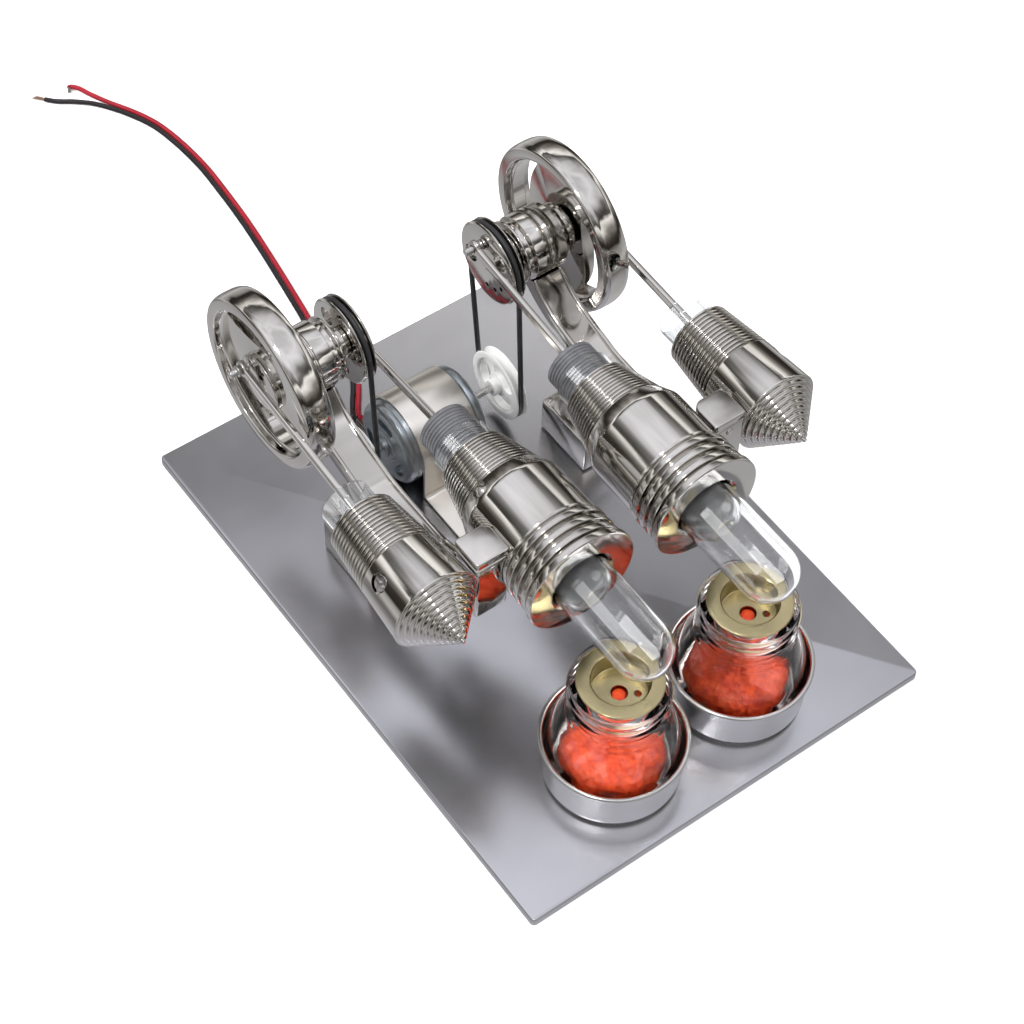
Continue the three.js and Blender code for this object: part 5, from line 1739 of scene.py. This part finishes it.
@dataclass
class TransferBlock(Assembly):
    """The block that joins the two cylinders, with its grooved cap."""

    power_x: float = 52.6
    power_cut: float = 12.35
    displacer_x: float = 19.2
    displacer_cut: float = 14.6
    z: float = 62.2
    cap: float = 2.2
    groove: float = 0.5

    def outline(self, inset: float) -> list:
        """The block's plan, with a rounder rear inner corner."""
        room = self.room("transfer_block")
        (x0, y0, _), (x1, y1, _) = room.low, room.high
        x0, y0, x1, y1 = x0 + inset, y0 + inset, x1 - inset, y1 - inset
        return (arc((x1 - 0.8, y1 - 0.8), 0.8, 0, 90, 6)
                + arc((x0 + 2.6, y1 - 2.6), 2.6, 90, 180, 10)
                + arc((x0 + 0.8, y0 + 0.8), 0.8, 180, 270, 6)
                + arc((x1 - 0.8, y0 + 0.8), 0.8, 270, 360, 6))

    def build(self) -> None:
        """Makes the block, its cap and the cap's screw."""
        room = self.room("transfer_block")
        low, high = room.low[2], room.high[2]
        y0, y1 = room.low[1] - 5, room.high[1] + 5
        line = high - self.cap
        lower = slab(self.outline(0), low, line - self.groove, Axis.Z).eased(0.5, 3, 50)
        neck = slab(self.outline(0.5), line - self.groove - 1, line + 1, Axis.Z)
        upper = slab(self.outline(0), line, high, Axis.Z).eased(0.3, 3, 50)
        tools = [rod(self.power_cut, y0, y1, Axis.Y, (self.power_x, 0, self.z), 0, FINE),
                 rod(self.displacer_cut, y0, y1, Axis.Y, (self.displacer_x, 0, self.z), 0, FINE)]
        tools.append(block((30, 43), (-22.8, -10), (low - 1, 50.6)))
        shape = lower.joined(neck, upper).cut(*tools)
        self.place("joining_block", shape, NICKEL, "base", ("transfer_block",))
        x, y = room.middle[0], room.low[1]
        head = lathe([(0, y + 0.6), (1.1, y + 0.6, 0.1), (1.1, y - 0.25, 0.25), (0, y - 0.35)],
                     Axis.Y, (x, 0, line - 2.4), 32)
        self.place("block_screw", head, BRIGHT_STEEL, "base")


# ---------------------------------------------------------------- burner


@dataclass
class Burner(Assembly):
    """A spirit burner: steel tray, glass jar, brass cup and dyed filling."""

    x: float = 20.4
    y: float = -63.0
    tray: float = 19.4
    tray_base: float = 18.2
    wall: float = 0.9
    jar: float = 17.2
    neck: float = 13.2
    cup: float = 11.1
    recess: float = 7.3
    wick: float = 2.2
    vent: float = 1.0
    vent_x: float = 3.6
    vent_y: float = -2.8
    seed: int = 11

    @property
    def centre(self) -> tuple:
        """A point on the burner's axis."""
        return (self.x, self.y, 0)

    def tray_shape(self) -> Solid:
        """The tray with a rolled rim."""
        room = self.room("burner_tray")
        low, high = room.low[2], room.high[2]
        w = self.wall
        return lathe([
            (0, low), (self.tray_base - 1.2, low, 0.6), (self.tray_base, low + 1.2, 0.8),
            (self.tray - 0.75, high - 1.5, 0.3), (self.tray, high - 1.1, 0.4),
            (self.tray, high - 0.1, 0.5), (self.tray - 1.0, high, 0.4),
            (self.tray - 1.35, high - 0.7, 0.4), (self.tray - 1.45, high - 1.6, 0.3),
            (self.tray_base - w, low + 1.6, 0.8), (self.tray_base - w - 1.2, low + w, 0.6),
            (0, low + w),
        ], Axis.Z, self.centre, 132)

    def jar_shape(self) -> Solid:
        """The glass jar with a ringed neck."""
        room = self.room("burner_jar")
        low, top = room.low[2], room.high[2]
        outer = [(0, low + 0.6), (8, low + 0.5, 1.0), (9.5, low, 0.6), (14.6, low, 1.2),
                 (self.jar - 0.4, low + 1.6, 1.6), (self.jar, low + 4, 0.8),
                 (self.jar, 18.0, 2.0), (16.2, 22.4, 2.2), (13.6, 26.6, 2.2), (12.6, 28.6, 0.8)]
        for i in range(4):
            z = 29.6 + i * 3.1
            outer += [(12.5, z, 0.3), (self.neck, z + 0.7, 0.5), (self.neck, z + 1.3, 0.5),
                      (12.5, z + 2.0, 0.3)]
        outer += [(12.6, top, 0.4), (11.6, top, 0.3)]
        inner = [(9.9, top, 0.3), (9.9, 29.5, 1.0), (12.4, 25.6, 2.0), (14.9, 21.4, 2.0),
                 (15.9, 17.6, 1.5), (15.9, low + 4.4, 1.0), (13.8, low + 1.6, 1.4),
                 (0, low + 1.4)]
        return lathe(outer + inner, Axis.Z, self.centre, 120)

    def cup_shape(self) -> Solid:
        """The brass cup with its wick hole and vent."""
        room = self.room("wick_cup")
        low, top = room.low[2], room.high[2]
        floor, under = top - 6, top - 0.7
        shape = lathe([
            (0, low), (9.6, low, 0.3), (9.6, under, 0.05), (self.cup, under, 0.1),
            (self.cup, top - 0.1, 0.3), (self.cup - 0.4, top, 0.1), (self.recess + 0.35, top, 0.1),
            (self.recess, top - 0.35, 0.1), (self.recess, floor, 0.35), (0, floor),
        ], Axis.Z, self.centre, 132)
        sign = self.side.value
        tools = [rod(self.wick, low - 1, top + 1, Axis.Z, self.centre, 0, 48),
                 rod(self.vent, low - 1, top + 1, Axis.Z,
                     (self.x + self.vent_x * sign, self.y + self.vent_y, 0), 0, 28)]
        return shape.cut(*tools)

    def filling_shape(self) -> Solid:
        """The lumpy filling with the wick standing on it."""
        room = self.room("filling")
        low, top = room.low[2], room.high[2]
        shape = lathe([
            (0, low + 0.3), (11.0, low + 0.5, 1.5), (13.4, low + 2.2, 1.0), (14.1, 8.4),
            (14.1, 9.6), (13.9, 10.8), (13.5, 11.9), (12.9, 12.9), (12.0, 13.8), (10.9, 14.6),
            (9.6, 15.4), (8.2, 16.2), (6.8, 17.0), (5.4, 17.9), (4.0, 18.9), (2.9, 20.0),
            (1.9, 21.4, 0.3), (1.9, top + 9.6, 0.5), (0, top + 9.9),
        ], Axis.Z, self.centre, FINE)
        random = np.random.default_rng(self.seed)
        waves = random.uniform(0, 2 * math.pi, (7, 3))
        flat = shape.points[:, :2] - np.array([self.x, self.y])
        reach = np.linalg.norm(flat, axis=1)
        turn = np.arctan2(flat[:, 1], flat[:, 0])
        push = sum(
            np.sin((k + 3) * turn + waves[k, 0]) * np.sin(shape.points[:, 2] * 0.55 + waves[k, 1])
            for k in range(7)
        ) * 0.34 + random.uniform(-0.3, 0.3, len(shape.points)) - 0.6
        wide = reach > 3
        push = np.clip(push, -1.8, 0.2)
        shape.points[wide, :2] += flat[wide] / reach[wide][:, None] * push[wide][:, None]
        return shape

    def build(self) -> None:
        """Makes the four pieces."""
        spun = self.turned_metal(TRAY_STEEL, Axis.Z, self.centre, 0.02)
        brass = self.turned_metal(BRASS, Axis.Z, self.centre, 0.08)
        self.place("tray", self.tray_shape(), spun, "base", ("burner_tray",))
        self.place("jar", self.jar_shape(), JAR_GLASS, "burner", ("burner_jar",))
        self.place("cup", self.cup_shape(), brass, "burner", ("wick_cup",))
        self.place("wadding", self.filling_shape(), FILLING, "burner", ("filling",), 60)


# ---------------------------------------------------------------- the whole model


def main() -> None:
    """Builds everything in order: camera and wires first, then the plate and the engines."""
    logging.basicConfig(level=logging.INFO, format="%(name)s: %(message)s")
    bench = Bench()
    CameraRig().build()
    SupplyWires(bench).build()
    Studio(bench).build()
    BasePlate(bench).build()
    MotorStrap(bench).build()
    for side in Side:
        Generator(bench, side).build()
        CrankLine(bench, side).build()
        FrameArm(bench, side).build()
        ConnectingRod(bench, side, "power_rod").build()
        ConnectingRod(bench, side, "displacer_rod").build()
        PowerCylinder(bench, side).build()
        DisplacerCylinder(bench, side).build()
        TransferBlock(bench, side).build()
        Burner(bench, side).build()


if __name__ == "__main__":
    main()
